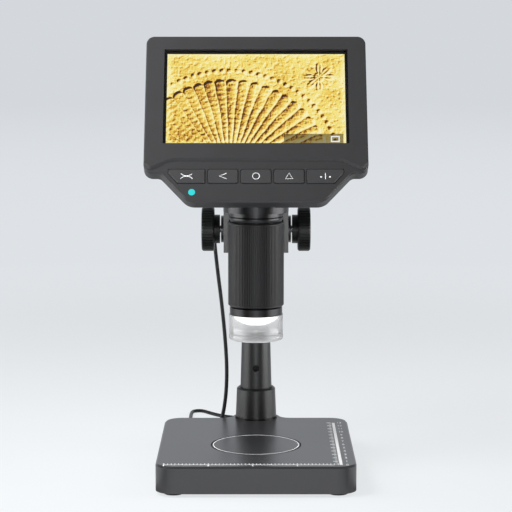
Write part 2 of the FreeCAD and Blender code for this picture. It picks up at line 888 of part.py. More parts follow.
# Focus block
def make_focus_block():
    """The block: it rides on the rail, holds the pinion shaft and leaves room for the grip."""
    shoulder = size("block_shoulder")
    rear = size("block_rear_radius")
    piece = Piece("block_body", whole=False)
    outline = mirrored_outline([Corner(HALF_BLOCK, BARREL_Y + size("block_front")),
                                Corner(HALF_BLOCK, COLUMN_Y - shoulder, 2),
                                Corner(rear, COLUMN_Y)])
    piece.pad([outline], BLOCK_FOOT, RING_FOOT)
    piece.cut([Circle(0, BARREL_Y, size("grip_radius") + size("grip_room"))], BLOCK_FOOT, RING_FOOT)
    liner = size("rod_radius") + size("slip_gap") + size("liner_wall")
    piece.cut([Circle(0, COLUMN_Y, liner)], BLOCK_FOOT, RING_FOOT)
    piece.cut(circles(holder_screw_places(), size("small_screw_radius") + size("slip_gap")),
              RING_FOOT - size("holder_screw_reach"), RING_FOOT)
    reach = BOSS_END
    boss = cylinder("block_boss", -reach, PINION_Y, PINION_Z, size("boss_radius"), reach * 2,
                    Y_AXIS, 90)
    room = size("tooth_module") + size("open_gap")
    half_room = size("pinion_width") / 2 + size("open_gap")
    chamber = cylinder("block_chamber", -half_room, PINION_Y, PINION_Z, PITCH_RADIUS + room,
                       half_room * 2, Y_AXIS, 90)
    seat = size("shaft_radius") + size("slip_gap") * 2 + size("bushing_wall")
    bore = cylinder("block_bore", -reach - 1, PINION_Y, PINION_Z, seat, reach * 2 + 2, Y_AXIS, 90)
    keep = cylinder("block_rail_room", 0, COLUMN_Y, BLOCK_FOOT, liner, size("block_height"))
    solid = fused("block_solid", [piece.body, boss])
    holes = clamp_screw_cylinders("block_clamp_hole", COLUMN_Y,
                                  size("small_screw_radius") + size("slip_gap"),
                                  size("clamp_screw_reach") + size("open_gap"))
    finish("focus_block", cut("focus_block", solid, [chamber, bore, keep] + holes))


def clamp_screw_cylinders(name, start, radius, length):
    """Four level cylinders on the clamp screws' axes, going forwards from a place."""
    rear = size("block_rear_radius")
    liner = size("rod_radius") + size("slip_gap") + size("liner_wall")
    x = (rear + liner) / 2
    inset = size("clamp_screw_inset")
    places = rectangle(-x, BLOCK_FOOT + inset, x, RING_FOOT - inset)
    return [cylinder(f"{name}_{index}", across, start, z, radius, length, X_AXIS, 90)
            for index, (across, z) in enumerate(places)]


def make_rail_clamp():
    """The half-round cap behind the rail, and the four screws that hold it to the block."""
    liner = size("rod_radius") + size("slip_gap") + size("liner_wall")
    rear = size("block_rear_radius")
    shell = Piece("clamp_round", whole=False)
    shell.pad([Circle(0, COLUMN_Y, rear)], BLOCK_FOOT, RING_FOOT)
    shell.cut([Circle(0, COLUMN_Y, liner)], BLOCK_FOOT, RING_FOOT)
    shell.cut([rectangle(-rear * 2, COLUMN_Y - rear * 2, rear * 2, COLUMN_Y)], BLOCK_FOOT,
              RING_FOOT)
    radius, head = size("small_screw_radius"), size("screw_head_height")
    seat = COLUMN_Y + size("clamp_screw_seat")
    gap = size("seat_gap")
    holes = clamp_screw_cylinders("clamp_hole", seat + 1, radius + gap, rear)
    wells = clamp_screw_cylinders("clamp_well", seat + rear, radius * 2 + gap, rear)
    finish("rail_clamp", cut("rail_clamp", shell.body, holes + wells))
    heads = clamp_screw_cylinders("clamp_screw_head", seat + head, radius * 2, head)
    shanks = clamp_screw_cylinders("clamp_screw_shank", seat + head, radius,
                                   size("clamp_screw_seat") + head + size("clamp_screw_reach"))
    screws = [fused(f"clamp_screw_{index}", list(pair))
              for index, pair in enumerate(zip(heads, shanks))]
    finish("clamp_screws", grouped("clamp_screws", screws))


def make_rail_liner():
    """The split plastic liner that slides on the rail, open in front for the pinion."""
    bore = size("rod_radius") + size("slip_gap")
    outer = bore + size("liner_wall") - size("slip_gap")
    half_slot = size("rack_width") / 2 + size("open_gap")
    inset = size("liner_inset")
    piece = Piece("rail_liner")
    piece.pad([Circle(0, COLUMN_Y, outer), Circle(0, COLUMN_Y, bore)], BLOCK_FOOT + inset,
              RING_FOOT - inset)
    piece.cut([rectangle(-half_slot, COLUMN_Y - outer - 1, half_slot, COLUMN_Y)],
              BLOCK_FOOT + inset, RING_FOOT - inset)


def make_pinion_bushings():
    """Two plain bushings for the pinion shaft, one in each side of the block."""
    bore = size("shaft_radius") + size("slip_gap")
    outer = bore + size("bushing_wall")
    length = size("bushing_length")
    bushings = []
    for side, start in (("left", -BOSS_END), ("right", BOSS_END - length)):
        solid = cylinder(f"bushing_{side}_outer", start, PINION_Y, PINION_Z, outer, length,
                         Y_AXIS, 90)
        hole = cylinder(f"bushing_{side}_bore", start, PINION_Y, PINION_Z, bore, length,
                        Y_AXIS, 90)
        bushings.append(cut(f"bushing_{side}", solid, [hole]))
    finish("pinion_bushings", grouped("pinion_bushings", bushings))


def tooth_half_angle(radius, pitch_radius):
    """Half the angle that a pinion tooth takes at a radius, by its involute flank."""
    base = pitch_radius * math.cos(math.radians(RACK_PRESSURE_ANGLE))

    def roll(at_radius):
        angle = math.acos(min(1.0, base / max(at_radius, base)))
        return math.tan(angle) - angle

    at_pitch = math.pi / (2 * PINION_TEETH) - TOOTH_BACKLASH / (2 * pitch_radius)
    return at_pitch + roll(pitch_radius) - roll(radius)


def make_pinion_shaft():
    """The shaft that joins both knobs, with the pinion at its middle."""
    module = SIZES["tooth_module"]
    pitch_radius = PITCH_RADIUS.value
    root, tip = pitch_radius - 1.2 * module, pitch_radius + 0.85 * module
    base = pitch_radius * math.cos(math.radians(RACK_PRESSURE_ANGLE))
    flank = [root, base, (base + tip) / 2, tip]
    centre_y, centre_z = PINION_Y.value, PINION_Z.value
    half_width = SIZES["pinion_width"] / 2
    points = []
    for tooth in range(PINION_TEETH):
        middle = 2 * math.pi * tooth / PINION_TEETH
        angles = [(radius, middle - tooth_half_angle(radius, pitch_radius)) for radius in flank]
        angles += [(radius, middle + tooth_half_angle(radius, pitch_radius))
                   for radius in reversed(flank)]
        for radius, angle in angles:
            points.append(Vector(-half_width, centre_y + radius * math.cos(angle),
                                 centre_z + radius * math.sin(angle)))
    gear = prism(points, Vector(2 * half_width, 0, 0))
    reach = (KNOB_END - size("knob_dish_depth")).value - 2.0
    shaft = Part.makeCylinder(SIZES["shaft_radius"], 2 * reach, Vector(-reach, centre_y, centre_z),
                              X_AXIS)
    shaped("pinion_shaft", gear.fuse(shaft).removeSplitter())


def make_knobs():
    """Two alike focus knobs: a slim hub, a wide ribbed rim and a dished outer face."""
    dish = size("knob_dish_radius")
    rim = size("knob_radius")
    depth = size("knob_dish_depth")
    bore = size("shaft_radius") + size("slip_gap")
    shaft_end = KNOB_END - depth - 2 - KNOB_START
    hub_low = HUB_START - KNOB_START
    width = size("knob_width")
    profile = [(bore, hub_low), (size("hub_radius"), hub_low), (size("hub_radius"), 0), (rim - 0.8, 0),
               (rim, 0.8), (rim, width - 0.8), (rim - 0.8, width), (dish, width),
               (dish - depth, width - depth), (0, width - depth), (0, shaft_end), (bore, shaft_end)]
    screws = []
    for label, side in (("left_knob", -1), ("right_knob", 1)):
        piece = Piece(f"{label}_turned", whole=False).turn(profile)
        half_gap = size("rib_gap_width") / 2
        groove = rectangle(-half_gap, rim - size("rib_depth"), half_gap, rim + 1)
        drawing = piece.sketch("XY_Plane", [groove], width)
        notch = piece.feature("Pocket", drawing)
        bind(notch, "Length", width)
        document.recompute()
        pattern = piece.body.newObject("PartDesign::PolarPattern", f"{label}_ribs")
        pattern.Originals = [notch]
        pattern.Axis = (drawing, ["N_Axis"])
        pattern.Angle = 360
        pattern.Occurrences = KNOB_RIBS
        piece.body.Tip = pattern
        document.recompute()
        piece.put(KNOB_START * side, PINION_Y, PINION_Z, Y_AXIS, 90 * side)
        middle = (HUB_START + KNOB_START) * (side / 2)
        radius = size("knob_screw_radius")
        hole = cylinder(f"{label}_hole", middle, PINION_Y, PINION_Z, radius + size("slip_gap"),
                        size("knob_radius"), X_AXIS, -90)
        finish(label, cut(label, piece.body, [hole]))
        screws.append(cylinder(f"{label}_screw", middle, PINION_Y + size("shaft_radius"),
                               PINION_Z, radius, size("hub_radius") - size("shaft_radius") - 1,
                               X_AXIS, -90))
    finish("knob_screws", grouped("knob_screws", screws))


def make_holder_ring():
    """The holder: a clamp ring round the barrel with an arm that lies on the block."""
    piece = Piece("holder_ring")
    piece.pad([Circle(0, BARREL_Y, size("ring_radius"))], RING_FOOT, RING_TOP)
    arm = rectangle(-HALF_BLOCK, BARREL_Y, HALF_BLOCK, BARREL_Y + size("arm_length"))
    piece.pad([arm], RING_FOOT, RING_TOP)
    piece.cut([Circle(0, BARREL_Y, size("tube_radius") + size("seat_gap"))], RING_FOOT, RING_TOP)
    piece.cut(circles(holder_screw_places(), size("small_screw_radius") * 2 + size("seat_gap")),
              RING_TOP - 2, RING_TOP)
    piece.cut(circles(holder_screw_places(), size("small_screw_radius") + size("seat_gap")),
              RING_FOOT, RING_TOP - 2)


def holder_screw_places():
    """Centres of the four screws that hold the ring's arm to the block."""
    spread = HALF_BLOCK - 5
    near = BARREL_Y + size("ring_radius") + 5
    return rectangle(-spread, near, spread, BARREL_Y + size("arm_length") - 5)


def make_holder_screws():
    """Four screws with their heads sunk in the holder's arm."""
    head = size("screw_head_height")
    foot = RING_FOOT - size("holder_screw_reach") + size("open_gap")
    upright_screws("holder_screws", holder_screw_places(), foot, RING_TOP - 2 + head - foot,
                   RING_TOP - 2, head)


# Barrel
def ring_profile(inner, outer, low, high):
    """The profile of a plain ring."""
    return [(inner, low), (outer, low), (outer, high), (inner, high)]


def barrel_piece(label, profile):
    """A piece turned about the barrel's axis."""
    return Piece(label).turn(profile).put(0, BARREL_Y, 0)


def make_barrel():
    """The barrel: inner tube, collar, turning grip, front ring and clear shroud."""
    bore, neck, outer = TUBE_BORE, NECK_RADIUS, size("tube_radius")
    tube_foot = FRONT_RING_FOOT
    tube_top = tube_foot + size("tube_height")
    shoulder = COLLAR_FOOT
    barrel_piece("barrel_tube", [(bore, tube_foot), (neck, tube_foot), (neck, shoulder),
                                 (outer, shoulder), (outer, tube_top), (bore, tube_top)])
    collar = size("collar_radius")
    seat = outer + size("slip_gap")
    middle = COLLAR_FOOT + size("collar_height") / 2
    barrel_piece("barrel_collar", [(seat, COLLAR_FOOT), (collar - 0.6, COLLAR_FOOT),
                                   (collar, COLLAR_FOOT + 1.4), (collar, middle - 0.3),
                                   (collar - 0.4, middle), (collar, middle + 0.3),
                                   (collar, RING_FOOT), (seat, RING_FOOT)])
    grip = size("grip_radius")
    slide = neck + size("slip_gap")
    barrel_piece("focus_grip", [(slide, GRIP_FOOT), (grip - 0.5, GRIP_FOOT),
                                (grip, GRIP_FOOT + 0.5), (grip, GRIP_TOP - 0.5),
                                (grip - 0.5, GRIP_TOP), (slide, GRIP_TOP)])
    front = size("front_ring_radius")
    held = neck + size("slip_gap")
    barrel_piece("front_ring", [(held, FRONT_RING_FOOT), (front, FRONT_RING_FOOT),
                                (front, FRONT_RING_TOP - 0.5), (front - 0.5, FRONT_RING_TOP),
                                (held, FRONT_RING_TOP)])
    shroud = size("shroud_radius")
    inner = shroud - size("shroud_wall")
    flange = FRONT_RING_FOOT - size("shroud_flange")
    eye = size("diffuser_radius") + size("seat_gap")
    barrel_piece("clear_shroud", [(inner, SHROUD_FOOT + 0.4), (inner + 0.4, SHROUD_FOOT),
                                  (shroud - 0.8, SHROUD_FOOT), (shroud, SHROUD_FOOT + 0.8),
                                  (shroud, FRONT_RING_FOOT), (eye, FRONT_RING_FOOT),
                                  (eye, flange), (inner, flange)])


def make_lighting():
    """The lamp ring: a round board in the tube's mouth, its lamps and the diffuser below."""
    board_radius = TUBE_BORE - size("seat_gap")
    eye = size("diffuser_eye_radius")
    board_foot = FRONT_RING_FOOT + size("lamp_board_drop")
    barrel_piece("lamp_board", ring_profile(eye, board_radius, board_foot,
                                            board_foot + size("lamp_board_thickness")))
    half = size("lamp_size") / 2
    lamps = []
    for index in range(LAMP_COUNT):
        angle = 2 * math.pi * index / LAMP_COUNT
        x = size("lamp_circle_radius") * math.cos(angle)
        y = BARREL_Y + size("lamp_circle_radius") * math.sin(angle)
        lamps.append(block(f"lamp_{index}", (x - half, y - half, board_foot - half),
                           (x + half, y + half, board_foot)))
    finish("lamp_chips", grouped("lamp_chips", lamps))
    barrel_piece("light_diffuser", ring_profile(eye, size("diffuser_radius"),
                                                FRONT_RING_FOOT - size("diffuser_thickness"),
                                                FRONT_RING_FOOT))


def make_optics():
    """The sliding lens cell with its two lenses, and the image sensor above it."""
    slide = TUBE_BORE - size("slip_gap")
    inner = slide - size("cell_wall")
    foot = FRONT_RING_FOOT + size("cell_place") - size("cell_height")
    top = foot + size("cell_height")
    lip = inner - 1
    front_seat = foot + 1.2
    rear_seat = top - 1.2 - size("rear_lens_thickness")
    barrel_piece("lens_cell", [(lip, foot), (slide, foot), (slide, top), (inner, top),
                               (inner, front_seat), (lip, front_seat)])
    lens = inner - size("seat_gap")
    swell = 0.7
    for label, low, thick in (("front_lens", front_seat, size("front_lens_thickness")),
                              ("rear_lens", rear_seat, size("rear_lens_thickness"))):
        barrel_piece(label, [(0, low - swell if label == "rear_lens" else low),
                             (lens, low), (lens, low + thick), (0, low + thick + swell)])
    board_foot = FRONT_RING_FOOT + size("tube_height") - 6
    board = TUBE_BORE - size("seat_gap")
    Piece("sensor_board").pad([Circle(0, BARREL_Y, board)], board_foot,
                              board_foot + size("sensor_board_thickness"))
    half = size("sensor_size") / 2
    finish("image_sensor", block("image_sensor", (-half, BARREL_Y - half,
                                                  board_foot - size("sensor_thickness")),
                                 (half, BARREL_Y + half, board_foot)))


# Display housing
CHIN_SLANT_SHARE = 0.45     # sideways share of an inset along the chin's slanted sides


def housing_outline(inset, tighter=0):
    """The housing's outline, moved inwards: wide above, with a narrower chin below."""
    side = size("housing_half_width") - inset
    shoulder = -size("housing_shoulder") + inset
    low = -size("chin_drop") + inset
    slant = as_size(inset) * CHIN_SLANT_SHARE
    return mirrored_outline([
        Corner(size("chin_half_width") - slant, low, size("chin_corner") - tighter),
        Corner(size("chin_top_half_width") - slant, shoulder, size("chin_inner_corner") + tighter),
        Corner(side, shoulder, size("housing_shoulder_radius") - tighter),
        Corner(side, size("housing_top") - inset, size("housing_corner") - tighter)])


def window_outline(inset):
    """The display window's rectangle, moved inwards."""
    side = size("window_half_width") - inset
    return rectangle(-side, -size("window_low") + inset, side, size("window_high") - inset)


def button_outline(index, inset):
    """The outline of one of the five buttons, left to right, moved inwards."""
    top, low = -size("button_top") - inset, -size("button_low") + inset
    radius = size("button_corner")
    if index in (1, 2, 3):
        middle = size("button_pitch") * (index - 2)
        half = size("button_width") / 2 + size("button_gap") - inset
        return rounded(rectangle(middle - half, low, middle + half, top), radius)
    outer, inner = size("end_button_outer") - inset, size("end_button_inner") + inset
    side = -size("button_top") - size("end_button_side")
    right = [(inner, low), (outer - size("end_button_cut"), low), (outer, side), (outer, top),
             (inner, top)]
    if index == 4:
        return rounded(right, radius / 2)
    return rounded([(-as_size(x), y) for x, y in reversed(right)], radius / 2)


BUTTONS = ("menu_button", "back_button", "record_button", "up_button", "power_button")


def make_front_housing():
    """The front half: a proud bezel round the display and a chin with five button holes."""
    depth, wall = size("front_depth"), size("front_wall")
    window_seat = size("window_sink") + size("window_thickness")
    plate = Piece("housing_plate", whole=False)
    plate.pad([housing_outline(0)], -depth, 0)
    plate.chamfer_rim(0, size("chin_chamfer"))
    plate.cut([window_outline(0)], -window_seat, 0)
    plate.cut([window_outline(size("window_ledge"))], -wall, -window_seat)
    plate.cut([housing_outline(size("side_wall"), size("side_wall"))], -depth, -wall)
    for index in range(5):
        plate.cut([button_outline(index, 0)], -wall, 0)
    lamp_hole = size("indicator_radius") + size("seat_gap")
    plate.cut([Circle(-size("lamp_x"), -size("lamp_low"), lamp_hole)], -wall, 0)
    screw = size("small_screw_radius") + size("slip_gap")
    plate.pad(circles(housing_screw_places(), size("housing_boss_radius")), -depth, -wall)
    plate.cut(circles(housing_screw_places(), screw), -depth, -wall - 1)
    plate.pad(circles(button_board_posts(), size("board_post_small")), SWITCH_BACK, -wall)
    bezel = Piece("housing_bezel", whole=False)
    side, top = size("housing_half_width"), size("housing_top")
    proud = size("bezel_proud")
    outline = mirrored_outline([
        Corner(size("bezel_foot_half_width"), -size("bezel_foot"), size("bezel_foot_round")),
        Corner(size("bezel_foot_outer"), -size("bezel_foot_low"), size("bezel_point_round")),
        Corner(side, -size("bezel_side_low")),
        Corner(side, top, size("housing_corner"))])
    bezel.pad([outline], -size("bezel_root"), proud)
    lower_edge = -SIZES["bezel_foot"] + 0.01
    bezel.chamfer_rim(proud, size("bezel_step"), lambda middle: middle.y < lower_edge)
    upper_edge = SIZES["housing_top"] - 0.01
    bezel.dress("Fillet", bezel.rim_edges(proud, lambda middle: middle.y > upper_edge), "Radius",
                size("bezel_rim"))
    bezel.cut([window_outline(0)], -size("bezel_root"), proud)
    tilted(plate)
    tilted(bezel)
    finish("front_housing", fused("front_housing", [plate.body, bezel.body]))


def button_board_posts():
    """Centres of the four short posts behind the chin that carry the button board."""
    low = size("button_low") + size("board_post_small") * 2
    places = []
    for share in (-1.5, -0.5, 0.5, 1.5):
        places.append((size("button_pitch") * share, -low))
    return places


def housing_screw_places():
    """Centres of the four housing screws, on the flat drawing of the housing."""
    side = size("housing_screw_x")
    return rectangle(-side, size("housing_screw_low"), side, size("housing_screw_high"))


def loft(name, sections):
    """A straight-sided solid through outlines with the same number of corners."""
    piece = Piece(name, whole=False)
    drawings = [piece.sketch("XY_Plane", [outline], height) for outline, height in sections]
    item = piece.feature("AdditiveLoft", drawings[0])
    item.Sections = drawings[1:]
    item.Ruled = True
    document.recompute()
    return piece.body


def tub_outside():
    """The rear housing's outer form: tapered sides and a bevelled back edge."""
    front, back = -size("front_depth"), -size("front_depth") - size("rear_depth")
    inset, edge = size("rear_inset"), size("rear_edge")
    tighter = size("housing_corner") - size("rear_corner")
    sides = (housing_outline(0), front)
    middle = (housing_outline(inset - edge / 2, tighter), back + edge)
    end = (housing_outline(inset + edge, tighter), back)
    return loft("tub_sides", [sides, middle]), loft("tub_back", [middle, end])


def tub_inside():
    """The hollow of the rear housing."""
    front, back = -size("front_depth"), -size("front_depth") - size("rear_depth")
    wall = size("rear_wall")
    tighter = size("housing_corner") - size("rear_corner") + 1
    return loft("tub_hollow", [(housing_outline(wall, wall), front),
                               (housing_outline(size("rear_inset") + wall, tighter), back + wall)])


def neck_inside_tub(front):
    """The neck: a round socket that stands on the holder ring and runs into the tub."""
    neck = cylinder("neck_outside", 0, BARREL_Y, RING_TOP, size("neck_radius"),
                    size("neck_reach"))
    behind = size("housing_half_width") * 2
    space = block("neck_behind", (-behind, -behind, front - behind), (behind, behind, front))
    return common("neck_trimmed", neck, tilted(grouped("neck_keep", [space])))


def make_rear_housing():
    """The rear half: a tapered tub whose neck stands on the holder ring, with its openings."""
    front, depth, wall = -size("front_depth"), size("rear_depth"), size("rear_wall")
    back = front - depth
    outside = fused("tub_outside", list(tub_outside()))
    solid = fused("tub_with_neck", [tilted(grouped("tub_block", [outside])),
                                    neck_inside_tub(front - wall)])
    bore_radius = size("neck_radius") - size("neck_wall")
    bore = cylinder("neck_bore", 0, BARREL_Y, RING_TOP - 1, bore_radius,
                    size("neck_reach") - wall)
    ring_room = cylinder("ring_room", 0, BARREL_Y, BLOCK_FOOT, size("ring_radius")
                         + size("seat_gap"), RING_TOP - BLOCK_FOOT)
    shell = cut("tub_shell", solid, [tilted(tub_inside()), bore, ring_room])
    screws = housing_screw_places()
    pillars = [cylinder(f"rear_pillar_{index}", x, y, back, size("housing_pillar_radius"), depth)
               for index, (x, y) in enumerate(screws)]
    trimmed_pillars = common("rear_pillars", fused("rear_pillar_group", pillars), outside)
    posts = [cylinder(f"rear_post_{index}", x, y, back + wall / 2, size("board_post_radius"),
                      BOARD_BACK - back - wall / 2)
             for index, (x, y) in enumerate(board_post_places())]
    supports = tilted(grouped("rear_supports", [trimmed_pillars] + posts))
    radius, gap = size("small_screw_radius"), size("seat_gap")
    head_foot = front - size("housing_pillar_height")
    openings = [cylinder(f"rear_hole_{index}", x, y, back - 1, radius + gap, depth + 2)
                for index, (x, y) in enumerate(screws)]
    openings += [cylinder(f"rear_well_{index}", x, y, back - 1, radius * 2 + gap,
                          head_foot - back + 1) for index, (x, y) in enumerate(screws)]
    openings.append(slot_box("rear_plug_hole", -size("socket_x"), size("socket_width"),
                             size("socket_tall"), back - 1, back + wall + 1))
    openings.append(slot_box("rear_card_hole", size("socket_x"), size("card_slot_width"),
                             size("card_slot_tall"), back - 1, back + wall + 1))
    finish("rear_housing", cut("rear_housing", fused("tub_with_supports", [shell, supports]),
                               [tilted(grouped("rear_openings", openings))]))


def common(name, first, second):
    """What two objects have in common."""
    item = document.addObject("Part::Common", name)
    item.Base = first
    item.Tool = second
    return item


def slot_box(name, x, width, tall, low, high):
    """A box for a slot in the rear wall, centred on its place."""
    middle = size("socket_high")
    return block(name, (as_size(x) - width / 2, middle - tall / 2, low),
                 (as_size(x) + width / 2, middle + tall / 2, high))


def head_plate(label, outlines, low, high):
    """A flat piece of the display housing."""
    piece = Piece(label).pad(outlines, low, high)
    return tilted(piece)


def make_display():
    """The window, the display module behind it, the main board and the battery."""
    window_back = -(size("window_sink") + size("window_thickness"))
    head_plate("display_window", [window_outline(size("seat_gap"))], window_back,
               -size("window_sink"))
    margin = size("panel_margin")
    half = size("screen_width") / 2 + margin
    panel_front = -size("front_wall")
    head_plate("display_panel", [rectangle(-half, -margin, half, size("screen_tall") + margin)],
               panel_front - size("panel_thickness"), panel_front)
    side = size("board_half_width")
    head_plate("main_board", [rectangle(-side, size("board_low"), side, size("board_high"))],
               BOARD_BACK, -size("board_depth"))
    reach = size("battery_width") / 2
    low = (size("board_low") + size("board_high") - size("battery_tall")) / 2
    head_plate("battery", [rectangle(-reach, low, reach, low + size("battery_tall"))],
               BOARD_BACK - size("battery_thickness"), BOARD_BACK)


def board_post_places():
    """Centres of the four posts behind the main board, near its corners."""
    inset = size("board_post_inset")
    side = size("board_half_width") - inset
    return rectangle(-side, size("board_low") + inset, side, size("board_high") - inset)


def make_sockets():
    """The power socket and the card reader, on the main board behind their openings."""
    back = -size("front_depth") - size("rear_depth")
    gap = size("seat_gap")
    wide, tall = size("socket_width") - gap * 2, size("socket_tall") - gap * 2
    shell = slot_box("socket_shell", -size("socket_x"), wide, tall, back + gap, BOARD_BACK)
    wall = size("socket_wall")
    room = slot_box("socket_room", -size("socket_x"), wide - wall * 2, tall - wall * 2, back,
                    back + size("socket_depth"))
    finish("power_socket", tilted(cut("power_socket", shell, [room])))
    reader = slot_box("reader_body", size("socket_x"), size("card_slot_width") - gap * 2,
                      size("card_slot_tall") - gap * 2, back + gap, BOARD_BACK)
    slit = slot_box("reader_slit", size("socket_x"), size("card_slot_width") - 1.4,
                    as_size(0.9), back, back + size("socket_depth"))
    finish("card_reader", tilted(cut("card_reader", reader, [slit])))


def make_buttons():
    """Five push buttons: a cap in its hole, a hidden flange and a short stem to its switch."""
    gap = size("button_gap")
    for index, label in enumerate(BUTTONS):
        piece = Piece(label)
        piece.pad([button_outline(index, gap)], FLANGE_FRONT, size("button_proud"))
        piece.chamfer_rim(size("button_proud"), gap)
        piece.pad([button_outline(index, -gap)], FLANGE_BACK, FLANGE_FRONT)
        stem = Circle(switch_x(index), switch_y(), size("plunger_radius"))
        piece.pad([stem], STEM_END, FLANGE_BACK)
        tilted(piece)


def switch_x(index):
    """Where the switch of a button stands, left to right."""
    if index in (1, 2, 3):
        return size("button_pitch") * (index - 2)
    outer, inner = size("end_button_outer"), size("end_button_inner")
    side = 1 if index == 4 else -1
    return (outer + inner) * (side / 2)


def switch_y():
    """The height of the row of switches on the flat drawing."""
    return -(size("button_top") + size("button_low")) / 2


def make_switches():
    """The button board with five switches, each a body and a plunger."""
    switch_front = SWITCH_BACK + size("switch_height")
    half = size("switch_size") / 2
    switches = []
    for index in range(5):
        x, y = switch_x(index), switch_y()
        body = block(f"switch_body_{index}", (x - half, y - half, SWITCH_BACK),
                     (x + half, y + half, switch_front))
        plunger = cylinder(f"switch_plunger_{index}", x, y, switch_front, size("plunger_radius"),
                           size("plunger_height"))
        switches.append(fused(f"switch_{index}", [body, plunger]))
    finish("tact_switches", tilted(grouped("tact_switches", switches)))
    side, low = size("button_board_half_width"), -size("button_board_low")
    board = mirrored_outline([Corner(side + low / 8, low), Corner(side, low + 5),
                              Corner(side, -size("button_top") + 1)])
    head_plate("button_board", [board], SWITCH_BACK - size("lamp_board_thickness"), SWITCH_BACK)
    pipe = Piece("indicator_pipe")
    place_x, place_y = -size("lamp_x"), -size("lamp_low")
    pipe.pad([Circle(place_x, place_y, size("indicator_radius"))], SWITCH_BACK, size("seat_gap"))
    pipe.pad([Circle(place_x, place_y, size("indicator_radius") + 1)], SWITCH_BACK, FLANGE_FRONT)
    tilted(pipe)


def make_housing_screws():
    """Four screws that hold the two housing halves together."""
    head = size("screw_head_height")
    head_foot = -size("front_depth") - size("housing_pillar_height") - head
    tip = -size("front_wall") - 1 - size("open_gap")
    tilted(upright_screws("housing_screws", housing_screw_places(), head_foot, tip - head_foot,
                          head_foot, head))


# Lead
def head_point(x, up, depth):
    """A point of the display housing in the part's frame: across, up the screen, behind it."""
    lean = math.radians(SIZES["tilt"])
    return Vector(x, SCREEN_Y.value + up * math.sin(lean) + depth * math.cos(lean),
                  SCREEN_Z.value + up * math.cos(lean) - depth * math.sin(lean))


def make_device_plug():
    """The lead's plug at the housing: a metal tongue, a moulded body and a tapered relief."""
    back = size("front_depth") + size("rear_depth")
    x, up = -size("socket_x"), size("socket_high")
    tall, wide = size("plug_tall"), size("plug_width")
    gap = size("seat_gap") * 2
    body = slot_box("plug_body", x, wide, tall, -(back + gap + size("plug_length")), -(back + gap))
    slack = (size("socket_wall") + size("seat_gap") * 2) * 2
    tongue = slot_box("plug_tongue", x, size("socket_width") - slack, size("socket_tall") - slack,
                      -(back + gap), -(back + gap) + size("plug_tongue"))
    relief = document.addObject("Part::Cone", "plug_relief")
    bind(relief, "Radius1", size("cord_diameter") / 2 + 0.3)
    bind(relief, "Radius2", size("relief_radius"))
    bind(relief, "Height", size("relief_length"))
    place(relief, x, up, -(back + gap + size("plug_length") + size("relief_length")))
    finish("device_plug", tilted(fused("device_plug", [body, tongue, relief])))
    depth = (back + gap + size("plug_length") + size("relief_length")).value
    return head_point(as_size(x).value, up.value, depth)


def tangent_arcs(points):
    """A path of straight runs joined by tangent arcs, and the radii of those arcs."""
    edges, radii = [], []
    start = points[0]
    for before, corner, after in zip(points, points[1:], points[2:]):
        arriving, leaving = corner - before, after - corner
        turn = arriving.getAngle(leaving)
        run = min(arriving.Length, leaving.Length)
        reach = 0.45 * run
        radii.append(reach / math.tan(turn / 2))
        first = corner - arriving.normalize() * reach
        last = corner + leaving.normalize() * reach
        inward = ((first + last) * 0.5 - corner).normalize()
        middle_distance = radii[-1] / math.cos(turn / 2) - radii[-1]
        edges.append(Part.LineSegment(start, first).toShape())
        edges.append(Part.Arc(first, corner + inward * middle_distance, last).toShape())
        start = last
    edges.append(Part.LineSegment(start, points[-1]).toShape())
    return Part.Wire(edges), radii


def tube(wire, diameter):
    """A round tube along a path."""
    start = wire.Edges[0].valueAt(wire.Edges[0].FirstParameter)
    heading = wire.Edges[0].tangentAt(wire.Edges[0].FirstParameter)
    circle = Part.Wire(Part.Circle(start, heading, diameter / 2).toShape())
    return wire.makePipeShell([circle], True, False)


def cord_piece(label, points):
    """One free stretch of the lead: its tube, checked against its length."""
    wire, radii = tangent_arcs(points)
    diameter = SIZES["cord_diameter"]
    solid = tube(wire, diameter)
    expected = wire.Length * math.pi * diameter ** 2 / 4
    print(f"{label}: length {wire.Length:.1f}, radii {[round(r, 1) for r in radii]},"
          f" volume {solid.Volume:.1f} for {expected:.1f}")
    if abs(solid.Volume - expected) > 0.02 * expected:
        raise ValueError(f"{label}: the tube's volume is off")
    shaped(label, solid)


def tangent_arc(start, heading, end):
    """An arc of under half a turn that leaves start along heading and reaches end."""
    chord = end - start
    across = chord - heading * chord.dot(heading)
    radius = chord.dot(chord) / (2 * across.Length)
    centre = start + across.normalize() * radius
    middle = ((start - centre) + (end - centre)).normalize() * radius + centre
    return Part.Arc(start, middle, end)


